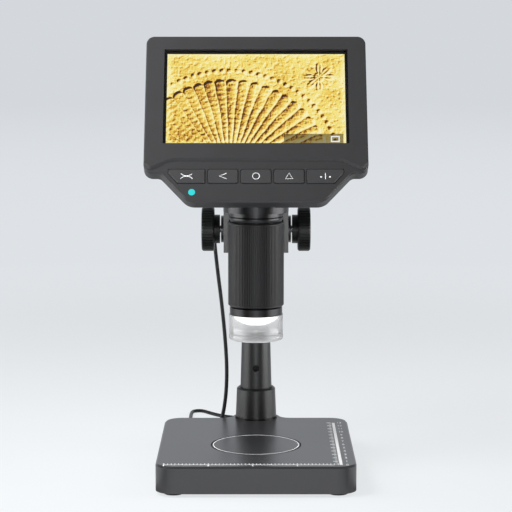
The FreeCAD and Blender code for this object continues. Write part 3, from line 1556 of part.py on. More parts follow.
def coil_path(centre, low):
    """The coil's path: in on the floor, up a layer in half a turn, out again, then the tail."""
    step = SIZES["coil_pitch"]
    ring = SIZES["coil_radius"]
    straight = SIZES["cord_diameter"]
    right, left = Vector(1, 0, 0), Vector(-1, 0, 0)
    place_now = Vector(centre.x, centre.y + ring, low)
    edges = [Part.LineSegment(place_now - right * straight, place_now).toShape()]
    heading = right
    half_turns = 4 * COIL_LOOPS - 1
    climb = 2 * COIL_LOOPS
    for turn in range(half_turns + 1):
        radius = ring - min(turn, climb) * step / 2 + max(turn - climb, 0) * step / 2
        down = -1 if heading.x > 0 else 1
        rise = step if turn == climb else 0
        waist = math.sqrt(radius ** 2 + (rise / 2) ** 2)
        middle = Vector(place_now.x + heading.x * waist, place_now.y + down * radius,
                        place_now.z + rise / 2)
        end = Vector(place_now.x, place_now.y + 2 * down * radius, place_now.z + rise)
        edges.append(tangent_arc(place_now, heading, middle).toShape())
        if turn == half_turns:
            place_now = middle
            break
        turned = edges[-1].tangentAt(edges[-1].LastParameter)
        edges.append(tangent_arc(middle, turned, end).toShape())
        place_now, heading = end, -heading
    tail = SIZES["tail_radius"]
    turned = Vector(0, 1, 0)
    corner = place_now + Vector(-tail, tail, 0)
    edges.append(tangent_arc(place_now, turned, corner).toShape())
    last = corner + left * straight
    edges.append(Part.LineSegment(corner, last).toShape())
    return Part.Wire(edges), last


def least_self_gap(wire, diameter):
    """The least clear gap between stretches of a tube that are not neighbours along it."""
    count = int(wire.Length / 0.8)
    points = wire.discretize(count)
    spacing = wire.Length / (count - 1)
    skip = int(4 * diameter / spacing)
    least = min((points[i] - points[j]).Length for i in range(count)
                for j in range(i + skip, count))
    return least - diameter


def make_lead():
    """The lead: it hangs behind the left knob, loops on the floor and ends in a small coil."""
    exit_point = make_device_plug()
    lift = SIZES["cord_diameter"] / 2
    hang = [exit_point, Vector(-27.0, 35.2, 158.7), Vector(-26.6, 47.9, 150.5),
            Vector(-25.6, 59.9, 137.5), Vector(-24.2, 63.2, 119.5), Vector(-22.3, 62.4, 101.0),
            Vector(-19.9, 62.8, 82.0), Vector(-18.0, 63.0, 62.0), Vector(-16.9, 63.7, 44.0),
            Vector(-17.3, 64.3, 29.0), Vector(-18.8, 65.2, 17.5), Vector(-20.9, 66.4, 9.2),
            Vector(-23.8, 68.0, 3.6), Vector(-28.6, 70.9, lift)]
    floor = [Vector(-38.8, 78.4, lift), Vector(-42.3, 90.5, lift), Vector(-42.0, 104.0, lift),
             Vector(-40.2, 117.5, lift), Vector(-40.4, 130.0, lift), Vector(-39.9, 139.7, lift),
             Vector(-37.0, 142.3, lift), Vector(-33.1, 141.8, lift), Vector(-28.8, 135.4, lift),
             Vector(-22.5, 127.5, lift), Vector(-13.5, 121.8, lift), Vector(-3.0, 118.5, lift),
             Vector(6.5, 111.5, lift), Vector(12.5, 101.0, lift), Vector(18.3, 91.4, lift)]
    joint = (hang[-1] + floor[0]) * 0.5
    cord_piece("cord_hang", hang + [joint])
    centre = Vector(SIZES["coil_right"], BASE_BACK.value + SIZES["coil_back"] + lift, 0)
    diameter = SIZES["cord_diameter"]
    wire, last = coil_path(centre, lift)
    entry = wire.Edges[0].valueAt(wire.Edges[0].FirstParameter)
    cord_piece("cord_floor", [joint] + floor + [entry - Vector(5.0, 0, 0), entry])
    print(f"cord_coil: length {wire.Length:.1f}, least gap {least_self_gap(wire, diameter):.2f}")
    shaped("cord_coil", tube(wire, diameter))
    make_end_plug(last)


def make_end_plug(last):
    """The plug at the lead's far end, lying on the floor with its metal shell to the left."""
    wide, high = size("end_plug_width"), size("end_plug_height")
    length = size("end_plug_length")
    start = as_size(last.x)
    middle = as_size(last.y)
    body = block("end_plug_body", (start - length, middle - wide / 2, 0),
                 (start, middle + wide / 2, high))
    tall = size("end_shell_height")
    shell_wide = size("end_shell_width")
    shell = block("end_plug_shell", (start - length - size("end_shell_length"),
                                     middle - shell_wide / 2, (high - tall) / 2),
                  (start - length, middle + shell_wide / 2, (high + tall) / 2))
    finish("cord_plug", fused("cord_plug", [body, shell]))


def make_all():
    """Build every sub-part."""
    make_base_plate()
    make_base_cover()
    make_ballast_plate()
    make_rubber_feet()
    make_base_screws()
    make_stage_insert()
    make_column_post()
    make_column_sleeve()
    make_column_fasteners()
    make_rail()
    make_focus_rack()
    make_focus_block()
    make_rail_clamp()
    make_rail_liner()
    make_pinion_bushings()
    make_pinion_shaft()
    make_knobs()
    make_holder_ring()
    make_holder_screws()
    make_barrel()
    make_lighting()
    make_optics()
    make_front_housing()
    make_rear_housing()
    make_display()
    make_sockets()
    make_buttons()
    make_switches()
    make_housing_screws()
    make_lead()


def check_and_write():
    """Check every object of the document and every sub-part's shape, then write the files."""
    document.recompute()
    for item in document.Objects:
        if "Invalid" in item.State or "Error" in item.State:
            raise ValueError(f"{item.Label} is {item.State}")
    for label, item in finished.items():
        if item.Shape.isNull() or not item.Shape.isValid() or not item.Shape.Solids:
            raise ValueError(f"{label} has no valid solid")
    os.makedirs("parts", exist_ok=True)
    for label, item in finished.items():
        item.Shape.exportStep(f"parts/{label}.step")
        print(f"{label}: {len(item.Shape.Solids)} solids, {item.Shape.Volume:.1f} mm3")


make_all()
check_and_write()
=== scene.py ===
"""Looks of a desk digital microscope with its own display.

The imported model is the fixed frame. This script gives its pieces their finishes, replaces the fluted grip and the
lead with full meshes, and adds what is printed or lit: the scales, the key marks and the picture on the display.
Lengths are in metres, +Z up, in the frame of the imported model.
"""

from __future__ import annotations

import json
import logging
import math
from collections.abc import Callable, Sequence
from dataclasses import dataclass, field
from enum import Enum

import bpy
from mathutils import Matrix, Vector

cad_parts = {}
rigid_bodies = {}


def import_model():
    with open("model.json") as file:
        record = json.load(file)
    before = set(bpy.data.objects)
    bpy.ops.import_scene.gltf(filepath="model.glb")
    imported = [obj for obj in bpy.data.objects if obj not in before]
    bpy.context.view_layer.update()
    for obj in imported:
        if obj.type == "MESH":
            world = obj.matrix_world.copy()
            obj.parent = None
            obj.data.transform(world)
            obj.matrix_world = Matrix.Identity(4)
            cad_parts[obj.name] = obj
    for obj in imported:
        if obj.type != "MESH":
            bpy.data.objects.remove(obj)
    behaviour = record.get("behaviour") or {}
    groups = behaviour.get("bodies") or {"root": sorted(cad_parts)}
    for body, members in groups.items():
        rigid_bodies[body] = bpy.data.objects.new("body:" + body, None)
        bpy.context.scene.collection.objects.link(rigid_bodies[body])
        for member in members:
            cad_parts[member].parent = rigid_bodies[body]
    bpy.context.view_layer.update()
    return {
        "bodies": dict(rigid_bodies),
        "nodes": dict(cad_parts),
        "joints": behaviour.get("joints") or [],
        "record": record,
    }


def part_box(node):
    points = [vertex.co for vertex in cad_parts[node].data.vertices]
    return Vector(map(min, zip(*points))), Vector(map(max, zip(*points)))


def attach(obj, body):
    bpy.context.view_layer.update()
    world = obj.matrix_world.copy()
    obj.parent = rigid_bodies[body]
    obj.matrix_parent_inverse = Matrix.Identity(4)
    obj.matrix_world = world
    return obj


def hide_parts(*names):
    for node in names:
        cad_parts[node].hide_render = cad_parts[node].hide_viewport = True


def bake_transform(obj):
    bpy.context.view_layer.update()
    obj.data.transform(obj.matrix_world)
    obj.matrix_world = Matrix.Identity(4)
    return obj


Tree, Socket, Piece = bpy.types.NodeTree, bpy.types.NodeSocket, bpy.types.Object

LOG = logging.getLogger("microscope")
MM = 0.001
PHOTO_PIXELS = 512
SENSOR_WIDTH = 36.0
SCREEN_TILT = math.radians(60.0)
SCREEN_ORIGIN = Vector((0.0, -0.02505, 0.1797))
BARREL_Y = -17.05 * MM
SCREEN_SHAPE = 16 / 9


class Body(Enum):
    """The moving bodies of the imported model."""

    STAND = "stand"
    CARRIAGE = "carriage"
    GRIP = "focus_ring"


def linear(colour: str) -> tuple[float, float, float, float]:
    """Turns an sRGB hex colour into linear red, green, blue and alpha.

    Args:
        colour: Six hex digits, with or without a leading mark.

    Returns:
        The colour as Blender's sockets take it.
    """
    digits = colour.lstrip("#")
    shares = [int(digits[i:i + 2], 16) / 255 for i in (0, 2, 4)]
    bent = [c / 12.92 if c <= 0.04045 else ((c + 0.055) / 1.055) ** 2.4 for c in shares]
    return (*bent, 1.0)


def add(tree: Tree, kind: str, inputs: dict | None = None, **settings: object) -> bpy.types.Node:
    """Adds one node to a material or world.

    Args:
        tree: The node tree.
        kind: The node's type, without the leading ShaderNode.
        inputs: What each input gets: a number, a colour, or a level or another node's output to link.
        settings: The node's own properties.

    Returns:
        The new node.
    """
    made = tree.nodes.new("ShaderNode" + kind)
    for name, value in settings.items():
        setattr(made, name, value)
    for name, value in (inputs or {}).items():
        value = value.socket if isinstance(value, Level) else value
        if isinstance(value, Socket):
            tree.links.new(value, made.inputs[name])
        else:
            made.inputs[name].default_value = value
    return made


@dataclass(frozen=True)
class Level:
    """A number that varies over a surface. Each arithmetic sign on it adds one step to its material."""

    tree: Tree
    socket: Socket

    def work(self, operation: str, other: Level | float = 0.0, behind: bool = False) -> Level:
        """Adds one step of arithmetic.

        Args:
            operation: What is done.
            other: The other level or number.
            behind: Whether this level comes second.

        Returns:
            The result.
        """
        pair = (other, self) if behind else (self, other)
        return Level(self.tree, add(self.tree, "Math", dict(enumerate(pair)), operation=operation).outputs[0])

    def ease(self, low: float, high: float, start: float = 0.0, end: float = 1.0) -> Level:
        """Eases from one value to another as this level rises.

        Args:
            low: The level at which it starts.
            high: The level at which it ends.
            start: The value at and below low.
            end: The value at and above high.

        Returns:
            The value.
        """
        return Level(self.tree, add(self.tree, "MapRange", {
            "Value": self, "From Min": low, "From Max": high, "To Min": start, "To Max": end},
            interpolation_type="SMOOTHSTEP").outputs["Result"])

    def __add__(self, other: Level | float) -> Level:
        """This level and another."""
        return self.work("ADD", other)

    def __sub__(self, other: Level | float) -> Level:
        """This level less another."""
        return self.work("SUBTRACT", other)

    def __rsub__(self, other: float) -> Level:
        """A number less this level."""
        return self.work("SUBTRACT", other, behind=True)

    def __mul__(self, other: Level | float) -> Level:
        """This level times another."""
        return self.work("MULTIPLY", other)

    def __pow__(self, other: float) -> Level:
        """This level to a power."""
        return self.work("POWER", other)

    def __abs__(self) -> Level:
        """This level without its sign."""
        return self.work("ABSOLUTE")


def blank(owner: bpy.types.Material | bpy.types.World) -> Tree:
    """Gives a material or world an empty node tree.

    Args:
        owner: The material or world.

    Returns:
        The tree.
    """
    owner.use_nodes = True
    owner.node_tree.nodes.clear()
    return owner.node_tree


def fill(band: bpy.types.ColorRamp, stops: Sequence[tuple[float, str]]) -> None:
    """Puts the stops in a colour ramp.

    Args:
        band: The ramp, with the two stops that it starts with.
        stops: Pairs of position and hex colour, in order.
    """
    for index, (place, colour) in enumerate(stops):
        stop = band.elements[index] if index < 2 else band.elements.new(place)
        stop.position = place
        stop.color = linear(colour)


@dataclass(frozen=True)
class Finish:
    """A plain finish: a base colour with a little mottling, and a fine relief.

    Moulded and sprayed grain is really about 0.1 mm across. It is drawn at grain, as coarse as it needs to show.

    Args:
        name: The material's name: what it is and how its surface was made.
        colour: Its hex colour.
        roughness: How matt it is.
        metallic: 1 for bare metal.
        ior: Index of refraction.
        grain: The size of one grain of the relief, in millimetres.
        relief: The depth of the relief, in millimetres.
        mottle: How far the colour wanders, as a share.
        mottle_size: How far apart the paler and darker places lie, in millimetres.
        coat: Share of a clear coat over it.
        coat_roughness: How matt the coat is.
        specular: The strength of its reflection, 0.5 for what the index of refraction gives.
    """

    name: str
    colour: str
    roughness: float = 0.5
    metallic: float = 0.0
    ior: float = 1.5
    grain: float = 0.5
    relief: float = 0.01
    mottle: float = 0.05
    coat: float = 0.0
    coat_roughness: float = 0.1
    specular: float = 0.5
    mottle_size: float = 14.0

    def material(self) -> bpy.types.Material:
        """Makes the material once.

        Returns:
            The material, new or made before.
        """
        known = bpy.data.materials.get(self.name)
        if known:
            return known
        made = bpy.data.materials.new(self.name)
        tree = blank(made)
        add(tree, "OutputMaterial", {"Surface": self.surface(tree)})
        return made

    def place(self, tree: Tree) -> Socket:
        """Returns the coordinates that the patterns read."""
        return add(tree, "TexCoord").outputs["Object"]

    def fine(self, tree: Tree, detail: float = 2.0) -> tuple[Socket, Socket]:
        """Adds the fine grain.

        Args:
            tree: The material's node tree.
            detail: How many finer layers the grain has.

        Returns:
            Its height, and the normal that its relief gives.
        """
        grain = add(tree, "TexNoise", {"Vector": self.place(tree), "Scale": 1 / (self.grain * MM), "Detail": detail})
        bump = add(tree, "Bump", {"Height": grain.outputs["Fac"], "Distance": self.relief * MM})
        return grain.outputs["Fac"], bump.outputs["Normal"]

    def surface(self, tree: Tree) -> Socket:
        """Builds the shader.

        Args:
            tree: The material's node tree.

        Returns:
            The shader's output.
        """
        wide = add(tree, "TexNoise", {"Vector": self.place(tree), "Scale": 1 / (self.mottle_size * MM), "Detail": 2.0})
        change = add(tree, "MapRange", {"Value": wide.outputs["Fac"], "From Min": 0.3, "From Max": 0.7,
                                        "To Min": 1 - self.mottle, "To Max": 1 + self.mottle})
        tint = add(tree, "HueSaturation", {"Color": linear(self.colour), "Value": change.outputs["Result"]})
        height, normal = self.fine(tree, detail=3.0)
        dull = add(tree, "MapRange", {"Value": height, "From Min": 0.25, "From Max": 0.75,
                                      "To Min": self.roughness * 0.97, "To Max": self.roughness * 1.03})
        return self.principled(tree, tint.outputs["Color"], dull.outputs["Result"], normal)

    def principled(self, tree: Tree, colour: Socket | tuple, roughness: Socket, normal: Socket) -> Socket:
        """Joins colour, roughness and relief in the shader.

        Args:
            tree: The material's node tree.
            colour: The base colour, plain or mottled.
            roughness: How matt each point is.
            normal: The normal that the relief gives.

        Returns:
            The shader's output.
        """
        made = add(tree, "BsdfPrincipled", {
            "Base Color": colour, "Roughness": roughness, "Normal": normal, "Metallic": self.metallic,
            "IOR": self.ior, "Specular IOR Level": self.specular, "Coat Weight": self.coat,
            "Coat Roughness": self.coat_roughness})
        return made.outputs["BSDF"]


@dataclass(frozen=True)
class Turned(Finish):
    """Metal turned or ground: fine rings of tool marks across the piece's height."""

    spread: float = 0.06

    def surface(self, tree: Tree) -> Socket:
        """Builds the shader, with tool marks one grain apart.

        Args:
            tree: The material's node tree.

        Returns:
            The shader's output.
        """
        rings = add(tree, "TexWave", {"Vector": self.place(tree), "Scale": 1 / (self.grain * MM) / 6.28,
                                      "Distortion": 1.5, "Detail": 2.0}, wave_type="BANDS", bands_direction="Z")
        dull = add(tree, "MapRange", {"Value": rings.outputs["Fac"], "To Min": self.roughness - self.spread,
                                      "To Max": self.roughness + self.spread})
        bump = add(tree, "Bump", {"Height": rings.outputs["Fac"], "Distance": self.relief * MM})
        return self.principled(tree, linear(self.colour), dull.outputs["Result"], bump.outputs["Normal"])


@dataclass(frozen=True)
class Clear(Finish):
    """Glass or acrylic that light passes through, a little milky where milk is above 0."""

    milk: float = 0.0

    def surface(self, tree: Tree) -> Socket:
        """Builds the clear shader.

        Args:
            tree: The material's node tree.

        Returns:
            The shader's output.
        """
        return add(tree, "BsdfPrincipled", {
            "Base Color": linear(self.colour), "Roughness": self.roughness, "IOR": self.ior,
            "Transmission Weight": 1.0 - self.milk, "Specular IOR Level": self.specular,
            "Normal": self.fine(tree)[1]}).outputs["BSDF"]


@dataclass(frozen=True)
class Lit(Finish):
    """A surface that gives light of its own, through a thin plastic skin."""

    glow: float = 1.0
    body: str = "#262626"

    def surface(self, tree: Tree) -> Socket:
        """Builds the glowing shader.

        Args:
            tree: The material's node tree.

        Returns:
            The shader's output.
        """
        return add(tree, "BsdfPrincipled", {
            "Base Color": linear(self.body), "Roughness": self.roughness, "Normal": self.fine(tree)[1],
            "Emission Color": linear(self.colour), "Emission Strength": self.glow}).outputs["BSDF"]


@dataclass(frozen=True)
class Picture(Finish):
    """The lit picture: gold in close-up, with a ribbed shell raised on a grainy ground.

    The pattern follows the plate's own map, 0 to 1 each way, so it stays on the tilted screen. Its lengths and
    places are in picture heights, from the lower left corner.
    """

    ribs: float = 27.0
    shell_middle: tuple[float, float] = (0.62, -0.30)
    shell_radius: float = 0.98
    beads: float = 15.0
    bead_row: float = 1.11
    bead_radius: float = 0.031
    rosette_middle: tuple[float, float] = (1.52, 0.74)
    petal_length: float = 0.1
    petal_foot: float = 0.085
    shift: float = 0.006
    glow: float = 1.0

    def polar(self, across: Level, up: Level, middle: tuple[float, float]) -> tuple[Level, Level]:
        """A point's distance and angle about a middle."""
        right, above = across - middle[0], up - middle[1]
        return (right * right + above * above).work("SQRT"), above.work("ARCTAN2", right)

    def noise(self, across: Level, up: Level, scale: float, detail: float) -> Level:
        """Spreads soft noise over the picture.

        Args:
            across: The distance from the left.
            up: The distance from the bottom.
            scale: How many lumps there are to one height of the picture.
            detail: How many finer layers it has.

        Returns:
            The noise, from 0 to 1.
        """
        spot = add(across.tree, "CombineXYZ", {"X": across, "Y": up}).outputs[0]
        made = add(across.tree, "TexNoise", {"Vector": spot, "Scale": scale, "Detail": detail})
        return Level(across.tree, made.outputs["Fac"])

    def relief_at(self, across: Level, up: Level) -> Level:
        """The height of the pictured relief at a point.

        Args:
            across: The distance from the left.
            up: The distance from the bottom.

        Returns:
            The height.
        """
        # The shell: ribs that fan out from below, with growth lines across them.
        far, angle = self.polar(across, up, self.shell_middle)
        sway = self.noise(across, up, 2.2, 2.0) * 2.0
        rib = abs((angle * self.ribs + sway).work("SINE")) ** 0.5
        growth = (far * 120.0 + rib * 2.5).work("SINE") * 0.09
        shell = (rib * 0.045 + self.shell_radius - far).ease(0.0, 0.03) * (rib + growth + 0.8)
        # A row of round beads round the shell.
        along = ((angle * self.beads).work("FRACT") - 0.5) * (self.bead_row / self.beads)
        apart = far - self.bead_row
        gap = (along * along + apart * apart).work("SQRT")
        rim = (self.bead_radius - gap).ease(0.0, 0.022) * 0.9
        # The rosette: eight veined petals about a raised middle.
        near, around = self.polar(across, up, self.rosette_middle)
        petal = abs((around * 4.0).work("COSINE"))
        leaf = (petal * self.petal_length + self.petal_foot - near).ease(0.0, 0.055)
        flower = leaf * (0.95 - petal ** 9.0 * 0.5) + (0.06 - near).ease(0.0, 0.02) * 0.7
        # The struck ground: fine grain, and short nicks.
        ground = self.noise(across, up, 60.0, 3.0) * 0.55 + self.noise(across, up, 22.0, 2.0).ease(0.38, 0.5) * 0.3
        return shell + rim + flower + ground

    def inside(self, side: Level, up: Level, box: tuple[float, float, float, float]) -> Level:
        """1 inside a box of the picture: left, right, foot and top, in shares of its width and height."""
        across = side.work("GREATER_THAN", box[0]) * side.work("LESS_THAN", box[1])
        return across * (up.work("GREATER_THAN", box[2]) * up.work("LESS_THAN", box[3]))

    def surface(self, tree: Tree) -> Socket:
        """Builds the shader: the relief lit from one side, with a status bar and its plain icon over it.

        Args:
            tree: The material's node tree.

        Returns:
            The shader's output.
        """
        place = add(tree, "SeparateXYZ", {0: add(tree, "TexCoord").outputs["UV"]})
        side, up = (Level(tree, place.outputs[way]) for way in "XY")
        across = side * SCREEN_SHAPE
        lit, shaded = (self.relief_at(across - step, up + step) for step in (self.shift, -self.shift))
        cloud = self.noise(across, up, 2.4, 3.0)
        level = (lit - shaded) * 0.85 + cloud * 0.9 + (0.26 - (lit + shaded) * 0.04)
        # The margin of the picture is washed out by its own light.
        beside = across.work("MINIMUM", SCREEN_SHAPE - across).work("MINIMUM", up.work("MINIMUM", 1.0 - up))
        wash = add(tree, "MapRange", {"Value": beside, "From Min": 0.0, "From Max": 0.05, "To Min": 0.3,
                                      "To Max": 0.0}).outputs["Result"]
        gold = add(tree, "ValToRGB", {"Fac": level + Level(tree, wash)})
        fill(gold.color_ramp, [(0.02, "#3a1d06"), (0.24, "#94591a"), (0.38, "#d69f3a"), (0.52, "#efc850"),
                               (0.68, "#f9e67c"), (0.98, "#fff6bf")])
        bar = add(tree, "Mix", {0: self.inside(side, up, (0.655, 0.985, 0.0, 0.112)) * 0.72, 6: gold.outputs["Color"],
                                7: linear("#3c2c12")}, data_type="RGBA").outputs[2]
        icon = (self.inside(side, up, (0.915, 0.965, 0.022, 0.09))
                - self.inside(side, up, (0.922, 0.958, 0.036, 0.076)))
        shown = add(tree, "Mix", {0: icon, 6: bar, 7: linear("#f2f2ee")}, data_type="RGBA").outputs[2]
        return add(tree, "BsdfPrincipled", {
            "Base Color": linear("#050505"), "Roughness": self.roughness,
            "Emission Color": shown, "Emission Strength": self.glow}).outputs["BSDF"]


# Moulded ABS with a fine spark texture: an even dark grey, softly matt, without sharp reflections.
HOUSING = Finish("abs_moulded_housing", "#363637", 0.42, grain=0.7, relief=0.012, mottle=0.03)
# The same plastic, a shade paler for the keys, and blacker and glossier for the nylon knobs and the fluted grip.
KEYS = Finish("abs_moulded_keys", "#3c3c3d", 0.4, grain=0.6, relief=0.01, mottle=0.03)
KNOBS = Finish("nylon_moulded_knobs", "#181919", 0.36, grain=0.6, relief=0.003, specular=0.5)
GRIP = Finish("abs_moulded_grip", "#202021", 0.42, grain=0.5, relief=0.002, specular=0.6)
# Satin lacquer on aluminium: soft broad highlights down each side of a round piece.
BARREL = Finish("aluminium_lacquered_barrel", "#1e1e1f", 0.28, grain=0.5, relief=0.0015, mottle=0.02, specular=1.0)
POST = Finish("aluminium_lacquered_post", "#131314", 0.33, grain=0.5, relief=0.0, mottle=0.02, specular=1.0)
# Anodised aluminium: bare metal under a grey film, so its bands of light are bright and sharp.
RINGS = Finish("aluminium_anodised_rings", "#4a4a4b", 0.33, metallic=1.0, grain=0.5, relief=0.001, mottle=0.02)
# Powder coat on cast zinc: smooth dark grey, much paler where it is seen at a low angle, and so is the stage.
BASE = Finish("zinc_cast_powder_coated", "#303032", 0.31, grain=0.8, relief=0.0, mottle=0.02, specular=1.0)
STAGE = Finish("aluminium_bead_blasted_stage", "#28282a", 0.31, grain=0.6, relief=0.0, specular=1.0)
# Bare turned and ground metal: bright, with fine rings that spread its lights.
STEEL = Turned("steel_ground", "#a9abae", 0.3, metallic=1.0, grain=0.6, relief=0.003)
ZINC = Turned("steel_zinc_plated", "#9da1a5", 0.32, metallic=1.0, grain=0.5, relief=0.004)
BRASS = Turned("brass_turned", "#b08c4a", 0.3, metallic=1.0, grain=0.6, relief=0.004)
# Blacked steel: nearly black, with small soft glints.
BLACK_SCREW = Finish("steel_black_oxide", "#1c1c1d", 0.38, metallic=0.6, grain=0.4, relief=0.004)
# Rubber is dead matt, and the lead's PVC has the soft sheen of an extruded skin.
# The same dead black also draws the ring round the stage's edge: painted shadow in the gap there.
RUBBER_AND_PAINTED_SHADOW = Finish("rubber_feet_and_painted_gap_shadow", "#141414", 0.7, grain=0.6, relief=0.03)
SHEATH = Finish("pvc_extruded_sheath", "#1b1d1e", 0.36, grain=0.5, relief=0.006, mottle=0.03)
PLUG = Finish("pvc_moulded_plug", "#18191a", 0.42, grain=0.5, relief=0.012)
# Moulded acrylic: clear with a slight haze, brightest along its edges.
ACRYLIC = Clear("acrylic_moulded_clear", "#fdfdfd", 0.2, ior=1.49, grain=3.0, relief=0.0, milk=0.17)
# Anti-glare coated glass: the lit picture shows through with next to no reflection.
WINDOW = Clear("glass_coated_window", "#ffffff", 0.02, ior=1.5, grain=8.0, relief=0.0005, specular=0.06)
LENS = Clear("glass_polished_lens", "#eef6fa", 0.01, ior=1.52, grain=8.0, relief=0.0002)
# Lit pieces: an even white glow under the barrel, warm lamp chips behind it, and a cyan dot on the front.
DIFFUSER = Lit("acrylic_opal_lit", "#ffffff", 0.5, glow=2.2)
LAMPS = Lit("lamp_phosphor", "#fff6dd", 0.5, glow=3.0)
INDICATOR = Lit("light_pipe_cyan", "#1fe0e2", 0.4, glow=0.95)
# The panel is black glass with a plain sharp gloss, and the picture before it has colour of its own.
PANEL = Finish("display_glass_black", "#050506", 0.16, grain=1.0, relief=0.0005, mottle=0.0)
PICTURE = Picture("display_picture_gold", "#e8c25c", 0.3)
# Inside, seldom seen: green solder mask, foil and dark sensor glass.
BOARD = Finish("circuit_board_green", "#1d5a34", 0.4, grain=1.2, relief=0.01, coat=0.3)
BATTERY = Finish("battery_foil_wrap", "#8f959c", 0.35, metallic=0.8, grain=2.0, relief=0.02)
SENSOR = Finish("sensor_glass", "#15151f", 0.1, grain=2.0, relief=0.0005, coat=0.6)
# Screen printing: pale matt ink that stands a hair above its ground.
# The same pale ink also draws the ring near the stage's edge: painted highlight of its edge chamfer.
PALE_INK_AND_HIGHLIGHT = Finish("ink_printed_grey_and_painted_highlight", "#ebecec", 0.55, grain=0.3, relief=0.002)
WHITE_INK = Finish("ink_screen_printed_white", "#e9eaea", 0.5, grain=0.3, relief=0.002)


def dress(piece: Piece, finish: Finish) -> None:
    """Gives every material slot of a piece one finish.

    Args:
        piece: The piece.
        finish: Its finish.
    """
    material = finish.material()
    if not piece.material_slots:
        piece.data.materials.append(material)
    for slot in piece.material_slots:
        slot.material = material


def settle(piece: Piece, finish: Finish, body: str,
           stands_for: str | None = None) -> None:
    """Dresses a finished piece, and tells the frame where it belongs.

    Args:
        piece: The piece, at its place.
        finish: Its finish.
        body: The body that it rides on.
        stands_for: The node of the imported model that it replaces.
    """
    dress(piece, finish)
    if stands_for:
        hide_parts(stands_for)
    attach(piece, body)
    LOG.info("%s on %s", piece.name, body)


def alone(piece: Piece) -> None:
    """Makes a piece the active one, alone selected.

    Args:
        piece: The piece.
    """
    bpy.ops.object.select_all(action="DESELECT")
    piece.select_set(True)
    bpy.context.view_layer.objects.active = piece


def in_edit(piece: Piece) -> None:
    """Makes a piece the active one, alone selected, and enters edit mode."""
    alone(piece)
    bpy.ops.object.mode_set(mode="EDIT")


def out_of_edit() -> Piece:
    """Leaves edit mode and returns the active piece."""
    bpy.ops.object.mode_set(mode="OBJECT")
    return bpy.context.view_layer.objects.active


def select_points(piece: Piece, wanted: Callable[[Vector], bool]) -> None:
    """Selects the points of a piece that a test picks, and nothing else, and stays in edit mode.

    Args:
        piece: The piece, in object mode.
        wanted: Says of each point whether it is wanted.
    """
    in_edit(piece)
    bpy.ops.mesh.select_mode(type="VERT")
    bpy.ops.mesh.select_all(action="DESELECT")
    bpy.ops.object.mode_set(mode="OBJECT")
    for point in piece.data.vertices:
        point.select = wanted(point.co)
    bpy.ops.object.mode_set(mode="EDIT")


def meshed(name: str, data: bpy.types.Curve) -> Piece:
    """Turns a curve or a text into a piece with a mesh.

    Args:
        name: The piece's name.
        data: The curve or text.

    Returns:
        The piece, the active one.
    """
    piece = bpy.data.objects.new(name, data)
    bpy.context.scene.collection.objects.link(piece)
    alone(piece)
    bpy.ops.object.convert(target="MESH")
    return bpy.context.object


def turned(name: str, profile: Sequence[tuple[float, float]], sides: int, centre: Vector) -> Piece:
    """Makes a closed turned piece, by drawing a circle out along its profile.

    Args:
        name: The piece's name.
        profile: Radius and height of each step, all the way round the section.
        sides: How many sides the circle has.
        centre: Where the axis meets height 0.

    Returns:
        The piece, closed where the last step meets the first.
    """
    bpy.ops.object.select_all(action="DESELECT")
    radius, height = profile[0]
    start = centre + Vector((0, 0, height))
    bpy.ops.mesh.primitive_circle_add(vertices=sides, radius=radius, location=start)
    piece = bpy.context.object
    piece.name = name
    bpy.ops.object.transform_apply(location=True, rotation=True, scale=True)
    in_edit(piece)
    bpy.ops.mesh.select_mode(type="VERT")
    bpy.ops.mesh.select_all(action="SELECT")
    for step in [*profile[1:], profile[0]]:
        bpy.ops.mesh.extrude_region_move(TRANSFORM_OT_translate={"value": (0, 0, step[1] - height)})
        share = step[0] / radius
        bpy.ops.transform.resize(value=(share, share, 1), center_override=(centre.x, centre.y, 0))
        radius, height = step
    bpy.ops.mesh.select_all(action="SELECT")
    bpy.ops.mesh.remove_doubles(threshold=0.002 * MM)
    bpy.ops.mesh.normals_make_consistent(inside=False)
    return out_of_edit()


def joined(name: str, pieces: Sequence[Piece]) -> Piece:
    """Joins pieces into one.

    Args:
        name: What the whole is called.
        pieces: The pieces.

    Returns:
        The whole.
    """
    alone(pieces[0])
    for piece in pieces:
        piece.select_set(True)
    if len(pieces) > 1:
        bpy.ops.object.join()
    pieces[0].name = name
    return pieces[0]


def copy_at(piece: Piece, shift: Vector, stretch: tuple[float, float, float] = (1, 1, 1)) -> Piece:
    """Copies a piece with its own mesh.

    Args:
        piece: The piece, at the origin.
        shift: How far the copy is moved.
        stretch: How far it is stretched about the origin before that, each way.

    Returns:
        The copy.
    """
    made = piece.copy()
    made.data = piece.data.copy()
    bpy.context.scene.collection.objects.link(made)
    made.data.transform(Matrix.Translation(shift) @ Matrix.Diagonal((*stretch, 1)))
    return made


def drop(piece: Piece) -> None:
    """Removes a piece that was only a pattern for copies."""
    bpy.data.objects.remove(piece)


def bead(name: str, width: float, length: float, height: float) -> Piece:
    """Makes one printed line: a thin flat bar at the origin with rounded upper edges.

    Args:
        name: The piece's name.
        width: Its size along X.
        length: Its size along Y.
        height: How proud it stands.

    Returns:
        The bar, standing on height 0.
    """
    bpy.ops.object.select_all(action="DESELECT")
    bpy.ops.mesh.primitive_cube_add(size=1, location=(0, 0, 0))
    piece = bpy.context.object
    piece.name = name
    piece.data.transform(Matrix.Translation((0, 0, height / 2)) @ Matrix.Diagonal((width, length, height, 1)))
    select_points(piece, lambda point: point.z > height * 0.9)
    bpy.ops.mesh.bevel(offset=height * 0.4, segments=1, affect="EDGES")
    return out_of_edit()


